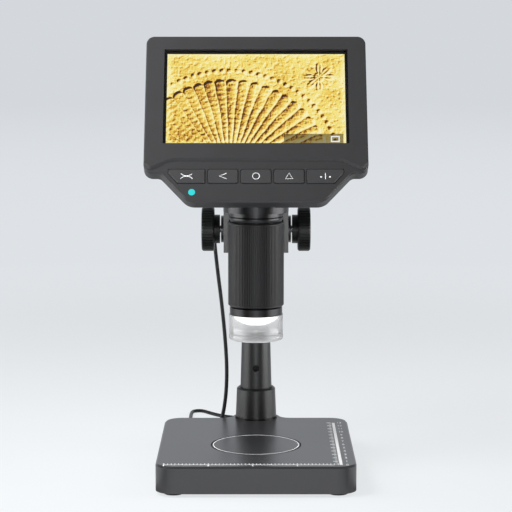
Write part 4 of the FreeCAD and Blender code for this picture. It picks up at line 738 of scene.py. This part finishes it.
def ribbon(name: str, points: Sequence[tuple[float, float]], width: float, height: float,
           closed: bool = False) -> Piece:
    """Makes a printed stroke that follows points in the XY plane.

    Args:
        name: The piece's name.
        points: The stroke's points.
        width: The stroke's width.
        height: How proud it stands.
        closed: Whether the stroke comes back to its start.

    Returns:
        The stroke as a mesh, on height 0.
    """
    curve = bpy.data.curves.new(name, "CURVE")
    curve.dimensions = "3D"
    line = curve.splines.new("POLY")
    line.points.add(len(points) - 1)
    for spot, (x, y) in zip(line.points, points):
        spot.co = (x, y, 0, 1)
    line.use_cyclic_u = closed
    curve.bevel_depth = width / 2
    curve.bevel_resolution = 2
    curve.use_fill_caps = True
    piece = meshed(name, curve)
    piece.data.transform(Matrix.Diagonal((1, 1, height / (width / 2), 1)))
    return piece


def arc(centre: tuple[float, float], radius: float, start: float, end: float, steps: int) -> list[tuple[float, float]]:
    """Points along an arc, from one angle to another in degrees."""
    angles = [math.radians(start + (end - start) * i / steps) for i in range(steps + 1)]
    return [(centre[0] + radius * math.cos(a), centre[1] + radius * math.sin(a)) for a in angles]


def screen_place() -> Matrix:
    """The display's own frame: across, up the screen, and out towards the user."""
    return Matrix.Translation(SCREEN_ORIGIN) @ Matrix.Rotation(SCREEN_TILT, 4, "X")


def screen_box(node: str) -> tuple[Vector, Vector]:
    """Measures a node in the display's own frame.

    Args:
        node: The node.

    Returns:
        Its lowest and highest corner.
    """
    back = screen_place().inverted()
    points = [back @ point.co for point in bpy.data.objects[node].data.vertices]
    low = Vector([min(point[i] for point in points) for i in range(3)])
    high = Vector([max(point[i] for point in points) for i in range(3)])
    return low, high


@dataclass
class Studio:
    """The camera at the photograph's place, the pale floor, the lamps and the world."""

    focal_pixels: float = 1850.0
    stand_off: float = 0.99805
    height: float = 0.242
    pitch: float = 7.15
    floor_radius: float = 30.0
    pale_near: str = "#f5f8fa"
    pale_step: str = "#ebeef1"
    pale_middle: str = "#dee2e6"
    pale_far: str = "#d4d8dd"
    cloth: str = "#e4e6e8"
    fade: tuple[float, float] = (1.0, 5.0)
    shadow_fade: tuple[float, ...] = (0.35, 0.9, 0.75, 1.0)
    behind: tuple[float, float] = (0.55, 0.9)
    dim: float = 0.16
    band_bearing: float = math.radians(46)
    band_half: tuple[float, float] = (math.radians(5), math.radians(11))
    band_strength: tuple[float, float] = (0.12, 0.68)
    lamps: dict[str, tuple] = field(default_factory=lambda: {
        # Each lamp: place, what it points at, width, height, watts. Reflections don't show them.
        "left_wall": ((-0.85, 0.05, 0.32), (0.0, 0.0, 0.12), 0.6, 0.9, 7.0),
        "right_wall": ((0.85, 0.0, 0.28), (0.0, 0.0, 0.12), 0.5, 0.9, 6.0),
        "front_fill": ((0.0, -1.7, 0.5), (0.0, 0.0, 0.12), 1.2, 0.7, 14.0),
        "head_key": ((-0.21, -0.15, 0.37), (-0.03, -0.03, 0.19), 0.16, 0.16, 1.25),
    })
    mirrored: dict[str, tuple] = field(default_factory=lambda: {
        # Each card that only reflections show: degrees round from the front, distance, width, foot, top, strength.
        "card_dark_left": (-37.0, 0.42, 0.17, 0.0, 0.55, 0.0),
        "card_dark_right": (37.0, 0.42, 0.17, 0.0, 0.55, 0.0),
        "card_bright_left": (-85.0, 0.85, 0.78, 0.0, 0.16, 4.4),
        "card_bright_right": (84.0, 0.85, 0.78, 0.0, 0.16, 5.6),
        "card_bright_ahead": (0.0, 1.3, 0.26, 0.0, 0.2, 5.6),
    })

    def camera(self) -> None:
        """Places the camera where the photograph was taken from."""
        data = bpy.data.cameras.new("camera")
        data.sensor_width = SENSOR_WIDTH
        data.lens = self.focal_pixels / PHOTO_PIXELS * SENSOR_WIDTH
        data.clip_start, data.clip_end = 0.05, 200.0
        eye = bpy.data.objects.new("camera", data)
        eye.location = (0, -self.stand_off, self.height)
        eye.rotation_euler = (math.radians(90 - self.pitch), 0, 0)
        bpy.context.scene.collection.objects.link(eye)
        bpy.context.scene.camera = eye

    def cards(self) -> None:
        """Cards that only reflections show: the bright and dark bands down round pieces, and none on level ones."""
        for name, (turn, away, wide, foot, top, strength) in self.mirrored.items():
            made = bpy.data.materials.new(name)
            tree = blank(made)
            glow = add(tree, "Emission", {"Color": linear("#ffffff"), "Strength": strength}).outputs[0]
            add(tree, "OutputMaterial", {"Surface": glow})
            bpy.ops.object.select_all(action="DESELECT")
            bpy.ops.mesh.primitive_plane_add(size=1)
            card = bpy.context.object
            card.name = name
            card.data.transform(Matrix.Rotation(math.radians(turn), 4, "Z")
                                @ Matrix.Translation((0, -away, (foot + top) / 2))
                                @ Matrix.Rotation(math.radians(90), 4, "X")
                                @ Matrix.Diagonal((wide, top - foot, 1, 1)))
            card.data.materials.append(made)
            for kind in ("camera", "diffuse", "transmission", "shadow"):
                setattr(card, "visible_" + kind, False)

    def rays(self, tree: Tree) -> tuple[Level, Level]:
        """Sorts the rays that see a surface.

        Args:
            tree: The material's or world's node tree.

        Returns:
            1 for rays from the camera, and 1 for those off a gloss or through glass.
        """
        path = add(tree, "LightPath")
        camera, gloss, glass = (Level(tree, path.outputs[f"Is {kind} Ray"])
                                for kind in ("Camera", "Glossy", "Transmission"))
        return camera, gloss.work("MAXIMUM", glass)

    def floor(self) -> None:
        """The pale floor: it keeps the object's shadow, and fades to the background far away.

        Reflections show it with a dark band to each side of the front, which falls on round pieces.
        """
        bpy.ops.object.select_all(action="DESELECT")
        bpy.ops.mesh.primitive_circle_add(vertices=96, radius=self.floor_radius, fill_type="NGON")
        ground = bpy.context.object
        ground.name = "studio_floor"
        made = bpy.data.materials.new("studio_floor")
        tree = blank(made)
        place = add(tree, "TexCoord").outputs["Object"]
        far = Level(tree, add(tree, "VectorMath", {0: place}, operation="LENGTH").outputs["Value"])
        tone = add(tree, "ValToRGB", {"Fac": far ** 0.5})
        fill(tone.color_ramp, [(0.25, self.pale_near), (0.62, self.pale_step), (0.95, self.pale_middle)])
        colour = add(tree, "Mix", {0: far.ease(*self.fade), 6: tone.outputs["Color"], 7: linear(self.pale_far)},
                     data_type="RGBA").outputs[2]
        spot = add(tree, "SeparateXYZ", {0: place})
        side, ahead = abs(Level(tree, spot.outputs["X"])), Level(tree, spot.outputs["Y"]) * -1.0
        band = abs(side.work("ARCTAN2", ahead) - self.band_bearing).ease(*self.band_half, *self.band_strength)
        gloss = Level(tree, add(tree, "LightPath").outputs["Is Glossy Ray"])
        strength = add(tree, "Mix", {0: gloss, 2: 1.0, 3: band}, data_type="FLOAT").outputs[0]
        light = add(tree, "Emission", {"Color": colour, "Strength": strength}).outputs[0]
        cloth = add(tree, "BsdfDiffuse", {"Color": linear(self.cloth)}).outputs[0]
        camera, others = self.rays(tree)
        amount = far.ease(*self.shadow_fade).work("MAXIMUM", gloss) * camera.work("MAXIMUM", others)
        add(tree, "OutputMaterial", {"Surface": add(tree, "MixShader", {0: amount, 1: cloth, 2: light}).outputs[0]})
        made.cycles.emission_sampling = "NONE"
        ground.data.materials.append(made)

    def world(self) -> None:
        """A dim even world, with the pale background for what is seen."""
        world = bpy.data.worlds.new("studio")
        bpy.context.scene.world = world
        tree = blank(world)
        facing = add(tree, "SeparateXYZ", {0: add(tree, "TexCoord").outputs["Generated"]}).outputs["Y"]
        behind = add(tree, "MapRange", {"Value": facing, "From Min": self.behind[0],
                                        "From Max": self.behind[1]}).outputs["Result"]
        camera, others = self.rays(tree)
        seen = camera.work("MAXIMUM", others * Level(tree, behind))
        dim = add(tree, "Background", {"Color": linear("#f3f5f8"), "Strength": self.dim}).outputs[0]
        pale = add(tree, "Background", {"Color": linear(self.pale_far), "Strength": 1.0}).outputs[0]
        add(tree, "OutputWorld", {"Surface": add(tree, "MixShader", {0: seen, 1: dim, 2: pale}).outputs[0]})

    def light(self) -> None:
        """Hangs the soft lamps."""
        for name, (place, target, width, tall, watts) in self.lamps.items():
            data = bpy.data.lights.new(name, "AREA")
            data.shape = "RECTANGLE"
            data.size, data.size_y, data.energy = width, tall, watts
            lamp = bpy.data.objects.new(name, data)
            lamp.location = place
            lamp.rotation_mode = "QUATERNION"
            lamp.rotation_quaternion = (Vector(target) - Vector(place)).to_track_quat("-Z", "Y")
            lamp.visible_glossy = lamp.visible_transmission = False
            bpy.context.scene.collection.objects.link(lamp)

    def build(self) -> None:
        """Sets the whole studio up."""
        self.camera()
        self.floor()
        self.cards()
        self.world()
        self.light()
        bpy.context.scene.view_settings.view_transform = "Standard"


@dataclass
class Lead:
    """The thin power lead: it hangs from the back, loops on the floor and ends in a small coil with its plug."""

    thick: float = 2.2 * MM
    coil_radius: float = 16.5 * MM
    pitch: float = 2.65 * MM
    loops: int = 3
    coil_centre: tuple[float, float] = (33.0 * MM, 70.35 * MM)
    turn_points: int = 16
    tail_radius: float = 11.0 * MM
    route: tuple[tuple[float, float, float], ...] = (
        (-27.0, 35.2, 158.7), (-26.6, 47.9, 150.5), (-25.6, 59.9, 137.5), (-24.2, 63.2, 119.5),
        (-22.3, 62.4, 101.0), (-19.9, 62.8, 82.0), (-18.0, 63.0, 62.0), (-16.9, 63.7, 44.0),
        (-17.3, 64.3, 29.0), (-18.8, 65.2, 17.5), (-20.9, 66.4, 9.2), (-23.8, 68.0, 3.6),
        (-28.6, 70.9, 1.1), (-38.8, 78.4, 1.1), (-42.3, 90.5, 1.1), (-42.0, 104.0, 1.1),
        (-40.2, 117.5, 1.1), (-40.4, 130.0, 1.1), (-39.9, 139.7, 1.1), (-37.0, 142.3, 1.1),
        (-33.1, 141.8, 1.1), (-28.8, 135.4, 1.1), (-22.5, 127.5, 1.1), (-13.5, 121.8, 1.1),
        (-3.0, 118.5, 1.1), (6.5, 111.5, 1.1), (12.5, 101.0, 1.1), (18.3, 91.4, 1.1))

    def exit_point(self) -> Vector:
        """Where the lead leaves its plug's relief: the middle of the plug's low rear end."""
        low, high = screen_box("device_plug")
        return screen_place() @ Vector(((low.x + high.x) / 2, (low.y + high.y) / 2, low.z))

    def coil_points(self) -> list[Vector]:
        """Lays the coil: in on the floor, up one layer and out again.

        Returns:
            The coil's points.
        """
        middle_x, middle_y = self.coil_centre
        low = self.thick / 2
        count = int((2 * self.loops - 0.25) * self.turn_points)
        climb = self.loops * self.turn_points
        swell = 1 / (1 - (math.pi / self.turn_points) ** 2 / 4)
        points = []
        for index in range(count + 1):
            turns = index / self.turn_points
            inward = min(turns, self.loops) - max(turns - self.loops, 0)
            radius = (self.coil_radius - inward * self.pitch) * swell
            rise = min(max((index - climb) / (self.turn_points / 2) + 0.5, 0.0), 1.0) * self.pitch
            angle = math.pi / 2 - turns * 2 * math.pi
            points.append(Vector((middle_x + radius * math.cos(angle), middle_y + radius * math.sin(angle),
                                  low + rise)))
        return points

    def points(self) -> list[Vector]:
        """Joins the route up.

        Returns:
            The points from the relief at the back to the end of the coil.
        """
        run = [Vector(point) * MM for point in self.route]
        middle_x, middle_y = self.coil_centre
        entry = Vector((middle_x - self.thick, middle_y + self.coil_radius, self.thick / 2))
        return [self.exit_point(), *run, entry - Vector((5 * MM, 0, 0)), entry, *self.coil_points()]

    def drawn(self, points: Sequence[Vector], thick: float) -> Piece:
        """Draws a smooth cord along its points.

        Args:
            points: The points.
            thick: How thick it is, 0 for its middle line alone.

        Returns:
            The cord as a mesh.
        """
        data = bpy.data.curves.new("lead", "CURVE")
        data.dimensions = "3D"
        line = data.splines.new("NURBS")
        line.points.add(len(points) - 1)
        for spot, point in zip(line.points, points):
            spot.co = (*point, 1)
        line.order_u = 3
        line.use_endpoint_u = True
        line.resolution_u = data.resolution_u = 6
        data.bevel_depth = thick / 2
        data.bevel_resolution = 4
        data.use_fill_caps = True
        return meshed("lead", data)

    def build(self, frame: dict) -> None:
        """Makes the lead and dresses its plug.

        Args:
            frame: What the frame loaded.
        """
        plug_low, plug_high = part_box("cord_plug")
        end = self.coil_points()[-1]
        plug_side = Vector((plug_high.x, (plug_low.y + plug_high.y) / 2, end.z))
        bend = Vector((end.x - 0.25 * self.tail_radius, plug_side.y - 0.1 * self.tail_radius, end.z))
        points = [*self.points(), bend, plug_side + Vector((6 * MM, 0, 0)), plug_side]
        bare = self.drawn(points, 0.0)
        drop(bare)
        piece = self.drawn(points, self.thick)
        bpy.ops.object.shade_smooth()
        dress(piece, SHEATH)
        dress(frame["nodes"]["cord_plug"], PLUG)
        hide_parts("cord_hang", "cord_floor", "cord_coil")
        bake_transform(piece)


@dataclass
class Assembly:
    """A sub-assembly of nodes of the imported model, each with its finish."""

    finishes: dict[str, Finish] = field(default_factory=dict)

    def dress_nodes(self, frame: dict) -> None:
        """Gives each node its finish."""
        for node, finish in self.finishes.items():
            dress(frame["nodes"][node], finish)


@dataclass
class Base(Assembly):
    """The base plate with its feet, its round stage and the two printed scales."""

    finishes: dict[str, Finish] = field(default_factory=lambda: {
        "base_plate": BASE, "base_cover": BLACK_SCREW, "ballast_plate": STEEL, "rubber_feet": RUBBER_AND_PAINTED_SHADOW,
        "base_screws": BLACK_SCREW, "stage_insert": STAGE, "column_sleeve": POST, "sleeve_ring": RINGS,
        "column_post": POST, "column_bolt": ZINC, "post_set_screw": BLACK_SCREW, "rail_rod": STEEL,
        "focus_rack": STEEL, "rail_cap": BARREL})
    ink_and_painted_ring_height: float = 0.03 * MM
    line_width: float = 0.8 * MM
    front_inset: float = 5.0 * MM
    front_start: float = -47.7 * MM
    front_end: float = 42.8 * MM
    step: float = 1.92 * MM
    major_every: int = 12
    major_stretch: float = 1.6
    tick_width: float = 0.42 * MM
    minor_length: float = 3.0 * MM
    major_length: float = 6.0 * MM
    bar_side: float = 44.0 * MM
    bar_width: float = 1.6 * MM
    bar_step: float = 7.8 * MM
    bar_gap: float = 0.6 * MM
    fine_every: int = 4
    fine_width: float = 0.3 * MM
    fine_length: float = 1.3 * MM
    mark_length: float = 2.4 * MM
    mark_stretch: float = 3.4
    bar_front: float = -63.6 * MM
    bar_back: float = 37.8 * MM
    number_size: float = 4.4 * MM
    number_gap: float = 1.7 * MM
    number_narrow: float = 0.62
    highlight_ring_radius: float = 23.3 * MM
    highlight_ring_width: float = 0.5 * MM
    shadow_ring_reach: float = 0.45 * MM
    shadow_ring_lap: float = 0.1 * MM

    def tick_lines(self, top: float) -> list[Piece]:
        """Prints the front scale: its line, and its ticks, long at each major step.

        Args:
            top: The height of the plate.

        Returns:
            The strokes.
        """
        tick = bead("tick", self.tick_width, 1 * MM, self.ink_and_painted_ring_height)
        base_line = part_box("base_plate")[0].y + self.front_inset
        made = []
        count = int((self.front_end - self.front_start) / self.step)
        for index in range(count + 1):
            major = index % self.major_every == 0
            length = self.major_length if major else self.minor_length
            ahead = 0 if major else length / 2
            shift = Vector((self.front_start + index * self.step, base_line + ahead, top))
            made.append(copy_at(tick, shift, (self.major_stretch if major else 1.0, length / MM, 1)))
        drop(tick)
        line = bead("front_line", self.front_end - self.front_start, self.line_width, self.ink_and_painted_ring_height)
        middle = Vector(((self.front_start + self.front_end) / 2, base_line, top))
        made.append(copy_at(line, middle))
        drop(line)
        return made

    def side_lines(self, top: float) -> list[Piece]:
        """Prints the side scale: a thick bar, with fine ticks to its left.

        Args:
            top: The height of the plate.

        Returns:
            The strokes.
        """
        bar = bead("side_bar", self.bar_width, self.bar_back - self.bar_front, self.ink_and_painted_ring_height)
        made = [copy_at(bar, Vector((self.bar_side, (self.bar_back + self.bar_front) / 2, top)))]
        drop(bar)
        tick = bead("tick", 1 * MM, self.fine_width, self.ink_and_painted_ring_height)
        fine = self.bar_step / self.fine_every
        count = int((self.bar_back - self.bar_front) / fine)
        for index in range(count + 1):
            along = self.bar_front + index * fine
            numbered = index % self.fine_every == 0
            length, thick = (self.mark_length, self.mark_stretch) if numbered else (self.fine_length, 1.0)
            away = self.bar_width / 2 + self.bar_gap + length / 2
            made.append(copy_at(tick, Vector((self.bar_side - away, along, top)), (length / MM, thick, 1)))
        drop(tick)
        return made

    def numbers(self, top: float) -> list[Piece]:
        """Prints plain numbers beside the side scale.

        Args:
            top: The height of the plate.

        Returns:
            The numbers.
        """
        made = []
        for index in range(int((self.bar_back - self.bar_front) / self.bar_step) + 1):
            data = bpy.data.curves.new("number", "FONT")
            data.body = str(index)
            data.size = self.number_size
            data.align_x, data.align_y = "CENTER", "CENTER"
            data.extrude = self.ink_and_painted_ring_height / 2
            piece = meshed("number", data)
            place = Vector((self.bar_side + self.bar_width + self.number_gap, self.bar_front + index * self.bar_step,
                            top + self.ink_and_painted_ring_height / 2))
            piece.data.transform(Matrix.Translation(place) @ Matrix.Diagonal((self.number_narrow, 1, 1, 1)))
            made.append(piece)
        return made

    def ring(self, name: str, inner: float, outer: float, finish: Finish) -> None:
        """Lays a thin ring on the stage, about the barrel's axis.

        Args:
            name: The ring's name.
            inner: Its inner radius.
            outer: Its outer radius.
            finish: Its finish.
        """
        profile = [(outer, 0), (outer, self.ink_and_painted_ring_height), (inner, self.ink_and_painted_ring_height), (inner, 0)]
        centre = Vector((0, BARREL_Y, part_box("stage_insert")[1].z))
        settle(turned(name, profile, 160, centre), finish, Body.STAND.value)

    def build(self, frame: dict) -> None:
        """Dresses the stand's nodes, prints the scales, and lays the stage's two rings: a painted highlight and a
        painted shadow.

        Args:
            frame: What the frame loaded.
        """
        self.dress_nodes(frame)
        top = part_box("base_plate")[1].z
        prints = {"front_scale": self.tick_lines(top), "side_scale": self.side_lines(top),
                  "side_numbers": self.numbers(top)}
        for name, parts in prints.items():
            settle(joined(name, parts), PALE_INK_AND_HIGHLIGHT, Body.STAND.value)
        # A pale ring near the stage's edge: painted highlight of its edge chamfer.
        self.ring("stage_line", self.highlight_ring_radius - self.highlight_ring_width, self.highlight_ring_radius, PALE_INK_AND_HIGHLIGHT)
        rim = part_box("stage_insert")[1].x
        # A dark ring over the stage's edge: painted shadow in the gap between the stage and the plate.
        self.ring("stage_rim", rim - self.shadow_ring_lap, rim + self.shadow_ring_reach, RUBBER_AND_PAINTED_SHADOW)


@dataclass
class Barrel(Assembly):
    """The focus block and the barrel: knobs, collars, the fluted grip, the clear shroud and the optics."""

    finishes: dict[str, Finish] = field(default_factory=lambda: {
        "focus_block": BARREL, "rail_clamp": BARREL, "clamp_screws": BLACK_SCREW, "rail_liner": GRIP,
        "pinion_bushings": BRASS, "holder_ring": RINGS, "holder_screws": BLACK_SCREW, "barrel_tube": BARREL,
        "barrel_collar": RINGS, "front_ring": RINGS, "clear_shroud": ACRYLIC, "lamp_board": BOARD,
        "lamp_chips": LAMPS, "light_diffuser": DIFFUSER, "sensor_board": BOARD, "image_sensor": SENSOR,
        "pinion_shaft": STEEL, "left_knob": KNOBS, "right_knob": KNOBS, "knob_screws": BLACK_SCREW,
        "lens_cell": BARREL, "front_lens": LENS, "rear_lens": LENS})
    flutes: int = 94
    flute_depth: float = 0.3 * MM
    flute_points: int = 6
    rim: float = 0.6 * MM
    land: float = 0.9 * MM
    land_step: float = 0.3 * MM
    margin: float = 0.1 * MM
    bore: float = 12.6 * MM
    dome_depth: float = 5.6 * MM
    dome_eye: float = 4.0 * MM
    dome_steps: int = 12
    skirt_wall: float = 1.8 * MM
    skirt_eye: float = 12.1 * MM
    skirt_flange: float = 1.4 * MM
    skirt_corner: float = 1.0 * MM
    skirt_soft: float = 0.3 * MM
    skirt_band: float = 2.6 * MM
    skirt_slope: float = 0.2 * MM
    skirt_waist: float = 0.12 * MM
    skirt_lip: float = 0.5 * MM
    skirt_lip_height: float = 3.1 * MM

    def grip(self) -> Piece:
        """Makes the turning grip: a sleeve with fine flutes between two plain rims.

        Returns:
            The grip.
        """
        low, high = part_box("focus_grip")
        outer = (high.x - low.x) / 2
        tall = high.z - low.z
        sides = self.flutes * self.flute_points
        profile = [(self.bore, 0), (outer - self.rim, 0), (outer, self.rim), (outer, self.land),
                   (outer, self.land + self.land_step), (outer, tall - self.land - self.land_step),
                   (outer, tall - self.land), (outer, tall - self.rim), (outer - self.rim, tall), (self.bore, tall)]
        piece = turned("focus_grip_sleeve", profile, sides, Vector((0, BARREL_Y, low.z)))
        bottom, top = low.z + self.land + self.margin, high.z - self.land - self.margin
        share = 1 - self.flute_depth / outer

        def in_flute(point: Vector) -> bool:
            """Says whether a point of the outer wall lies at the bottom of a flute.

            Args:
                point: The point.

            Returns:
                Whether it does.
            """
            around = math.hypot(point.x, point.y - BARREL_Y)
            turn = round(math.atan2(point.y - BARREL_Y, point.x) / (2 * math.pi) * sides)
            return bottom < point.z < top and around > outer - self.margin and turn % self.flute_points < 2

        select_points(piece, in_flute)
        bpy.ops.transform.resize(value=(share, share, 1), center_override=(0, BARREL_Y, 0))
        return out_of_edit()

    def dome(self) -> Piece:
        """Makes the glowing diffuser: a shallow opal dome that bulges down towards the stage.

        Returns:
            The dome, with its sight hole.
        """
        low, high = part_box("light_diffuser")
        outer, eye = (high.x - low.x) / 2, self.dome_eye
        radii = [eye + (outer - eye) * index / self.dome_steps for index in range(self.dome_steps + 1)]
        under = [(radius, self.dome_depth * 0.96 * (radius / outer) ** 2) for radius in radii]
        profile = [(eye, self.dome_depth), *under, (outer, self.dome_depth)]
        return turned("dome_diffuser", profile, 96, Vector((0, BARREL_Y, high.z - self.dome_depth)))

    def shroud(self) -> Piece:
        """Makes the clear shroud: a thick moulded skirt with a step inside and rounded lower edges.

        Returns:
            The shroud.
        """
        low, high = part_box("clear_shroud")
        outer, tall = (high.x - low.x) / 2, high.z - low.z
        inner, eye, flange = outer - self.skirt_wall, self.skirt_eye, self.skirt_flange
        corner, soft, lip = outer - self.skirt_corner, self.skirt_soft, inner + self.skirt_lip
        waist, shoulder = outer - self.skirt_waist, tall - self.skirt_corner
        profile = [(lip, 0), (corner, 0), (outer - soft, soft), (outer, self.skirt_corner), (outer, self.skirt_band),
                   (waist, self.skirt_band + self.skirt_slope), (waist, shoulder - self.skirt_slope),
                   (outer, shoulder), (outer, tall), (eye, tall), (eye, tall - flange), (inner, tall - flange),
                   (inner, self.skirt_lip_height + soft), (lip, self.skirt_lip_height)]
        return turned("shroud_skirt", profile, 128, Vector((0, BARREL_Y, low.z)))

    def build(self, frame: dict) -> None:
        """Dresses the barrel's nodes, and makes the dome, the shroud and the grip.

        Args:
            frame: What the frame loaded.
        """
        self.dress_nodes(frame)
        smooth = [(self.dome, DIFFUSER, "diffuser_plastic", "light_diffuser"),
                  (self.shroud, ACRYLIC, "clear_plastic", "clear_shroud")]
        for made, finish, slot, stands_for in smooth:
            piece = made()
            bpy.ops.object.shade_smooth_by_angle(angle=math.radians(35))
            settle(piece, finish, Body.CARRIAGE.value, stands_for)
        settle(self.grip(), GRIP, Body.GRIP.value, "focus_grip")


class Mark(Enum):
    """What is printed on each key."""

    MENU = "menu_key"
    BACK = "back_key"
    RECORD = "record_key"
    UP = "up_key"
    POWER = "power_key"

    @property
    def node(self) -> str:
        """The key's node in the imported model."""
        return self.value.replace("_key", "_button")


@dataclass
class Display(Assembly):
    """The tilted display housing: its shells, window, picture, keys and light."""

    finishes: dict[str, Finish] = field(default_factory=lambda: {
        "front_housing": HOUSING, "rear_housing": HOUSING, "display_window": WINDOW, "display_panel": PANEL,
        "main_board": BOARD, "battery": BATTERY, "button_board": BOARD, "tact_switches": ZINC,
        "indicator_pipe": INDICATOR, "housing_screws": BLACK_SCREW, "power_socket": STEEL, "card_reader": STEEL,
        "device_plug": PLUG, "menu_button": KEYS, "back_button": KEYS, "record_button": KEYS, "up_button": KEYS,
        "power_button": KEYS})
    picture_width: float = 95.04 * MM
    picture_height: float = 53.86 * MM
    picture_lift: float = 0.25 * MM
    stroke: float = 0.34 * MM
    ink: float = 0.03 * MM
    mark_wide: float = 1.9 * MM
    mark_tall: float = 1.75 * MM
    bow: float = 4.0 * MM
    bow_gap: float = 0.1 * MM
    circle: float = 1.8 * MM
    dot: float = 0.3 * MM
    dot_reach: float = 2.3 * MM
    dot_drop: float = 0.5 * MM
    dot_stroke: float = 0.5 * MM

    def strokes(self, mark: Mark) -> list[Piece]:
        """Prints the strokes of one key's mark, about the key's middle.

        Args:
            mark: The key.

        Returns:
            The strokes.
        """
        wide, tall = self.mark_wide, self.mark_tall
        if mark is Mark.MENU:
            upper = arc((0, self.bow + self.bow_gap), self.bow, 224, 316, 10)
            lower = arc((0, -self.bow - self.bow_gap), self.bow, 38, 142, 10)
            return [ribbon("stroke", line, self.stroke, self.ink) for line in (upper, lower)]
        if mark is Mark.BACK:
            return [ribbon("stroke", [(wide, tall * 0.9), (-wide, 0), (wide, -tall * 0.9)], self.stroke, self.ink)]
        if mark is Mark.RECORD:
            circle = arc((0, 0), self.circle, 0, 348.75, 31)
            return [ribbon("stroke", circle, self.stroke * 0.95, self.ink, closed=True)]
        if mark is Mark.UP:
            return [ribbon("stroke", [(-wide, -tall * 0.9), (wide, -tall * 0.9), (0, tall)],
                           self.stroke, self.ink, closed=True)]
        bar = ribbon("stroke", [(0, -tall), (0, tall)], self.stroke * 1.3, self.ink)
        dots = [ribbon("stroke", arc((side * self.dot_reach, -self.dot_drop), self.dot, 0, 300, 5),
                       self.dot_stroke, self.ink, closed=True) for side in (-1, 1)]
        return [bar, *dots]

    def key_mark(self, mark: Mark) -> None:
        """Prints one key's mark on its face, and lets it move with the key.

        Args:
            mark: The key.
        """
        low, high = screen_box(mark.node)
        piece = joined(mark.value + "_mark", self.strokes(mark))
        middle = Vector(((low.x + high.x) / 2, (low.y + high.y) / 2, high.z))
        piece.data.transform(screen_place() @ Matrix.Translation(middle))
        settle(piece, WHITE_INK, mark.value)

    def picture(self) -> None:
        """The lit picture: a thin plate just in front of the panel, with its own map."""
        _, high = screen_box("display_panel")
        bpy.ops.object.select_all(action="DESELECT")
        bpy.ops.mesh.primitive_grid_add(x_subdivisions=32, y_subdivisions=18, size=1, calc_uvs=True)
        piece = bpy.context.object
        piece.name = "display_picture"
        in_edit(piece)
        bpy.ops.mesh.select_all(action="SELECT")
        bpy.ops.transform.resize(value=(self.picture_width, self.picture_height, 1), center_override=(0, 0, 0))
        out_of_edit()
        middle = Vector((0, self.picture_height / 2, high.z + self.picture_lift))
        piece.data.transform(screen_place() @ Matrix.Translation(middle))
        settle(piece, PICTURE, Body.CARRIAGE.value)

    def build(self, frame: dict) -> None:
        """Dresses the housing's nodes, and adds the picture and the marks.

        Args:
            frame: What the frame loaded.
        """
        self.dress_nodes(frame)
        self.picture()
        for mark in Mark:
            self.key_mark(mark)


def main() -> None:
    """Loads the frame, builds the studio and then each sub-assembly."""
    logging.basicConfig(level=logging.INFO, format="%(message)s")
    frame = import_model()
    Studio().build()
    Lead().build(frame)
    Base().build(frame)
    Barrel().build(frame)
    Display().build(frame)


if __name__ == "__main__":
    main()
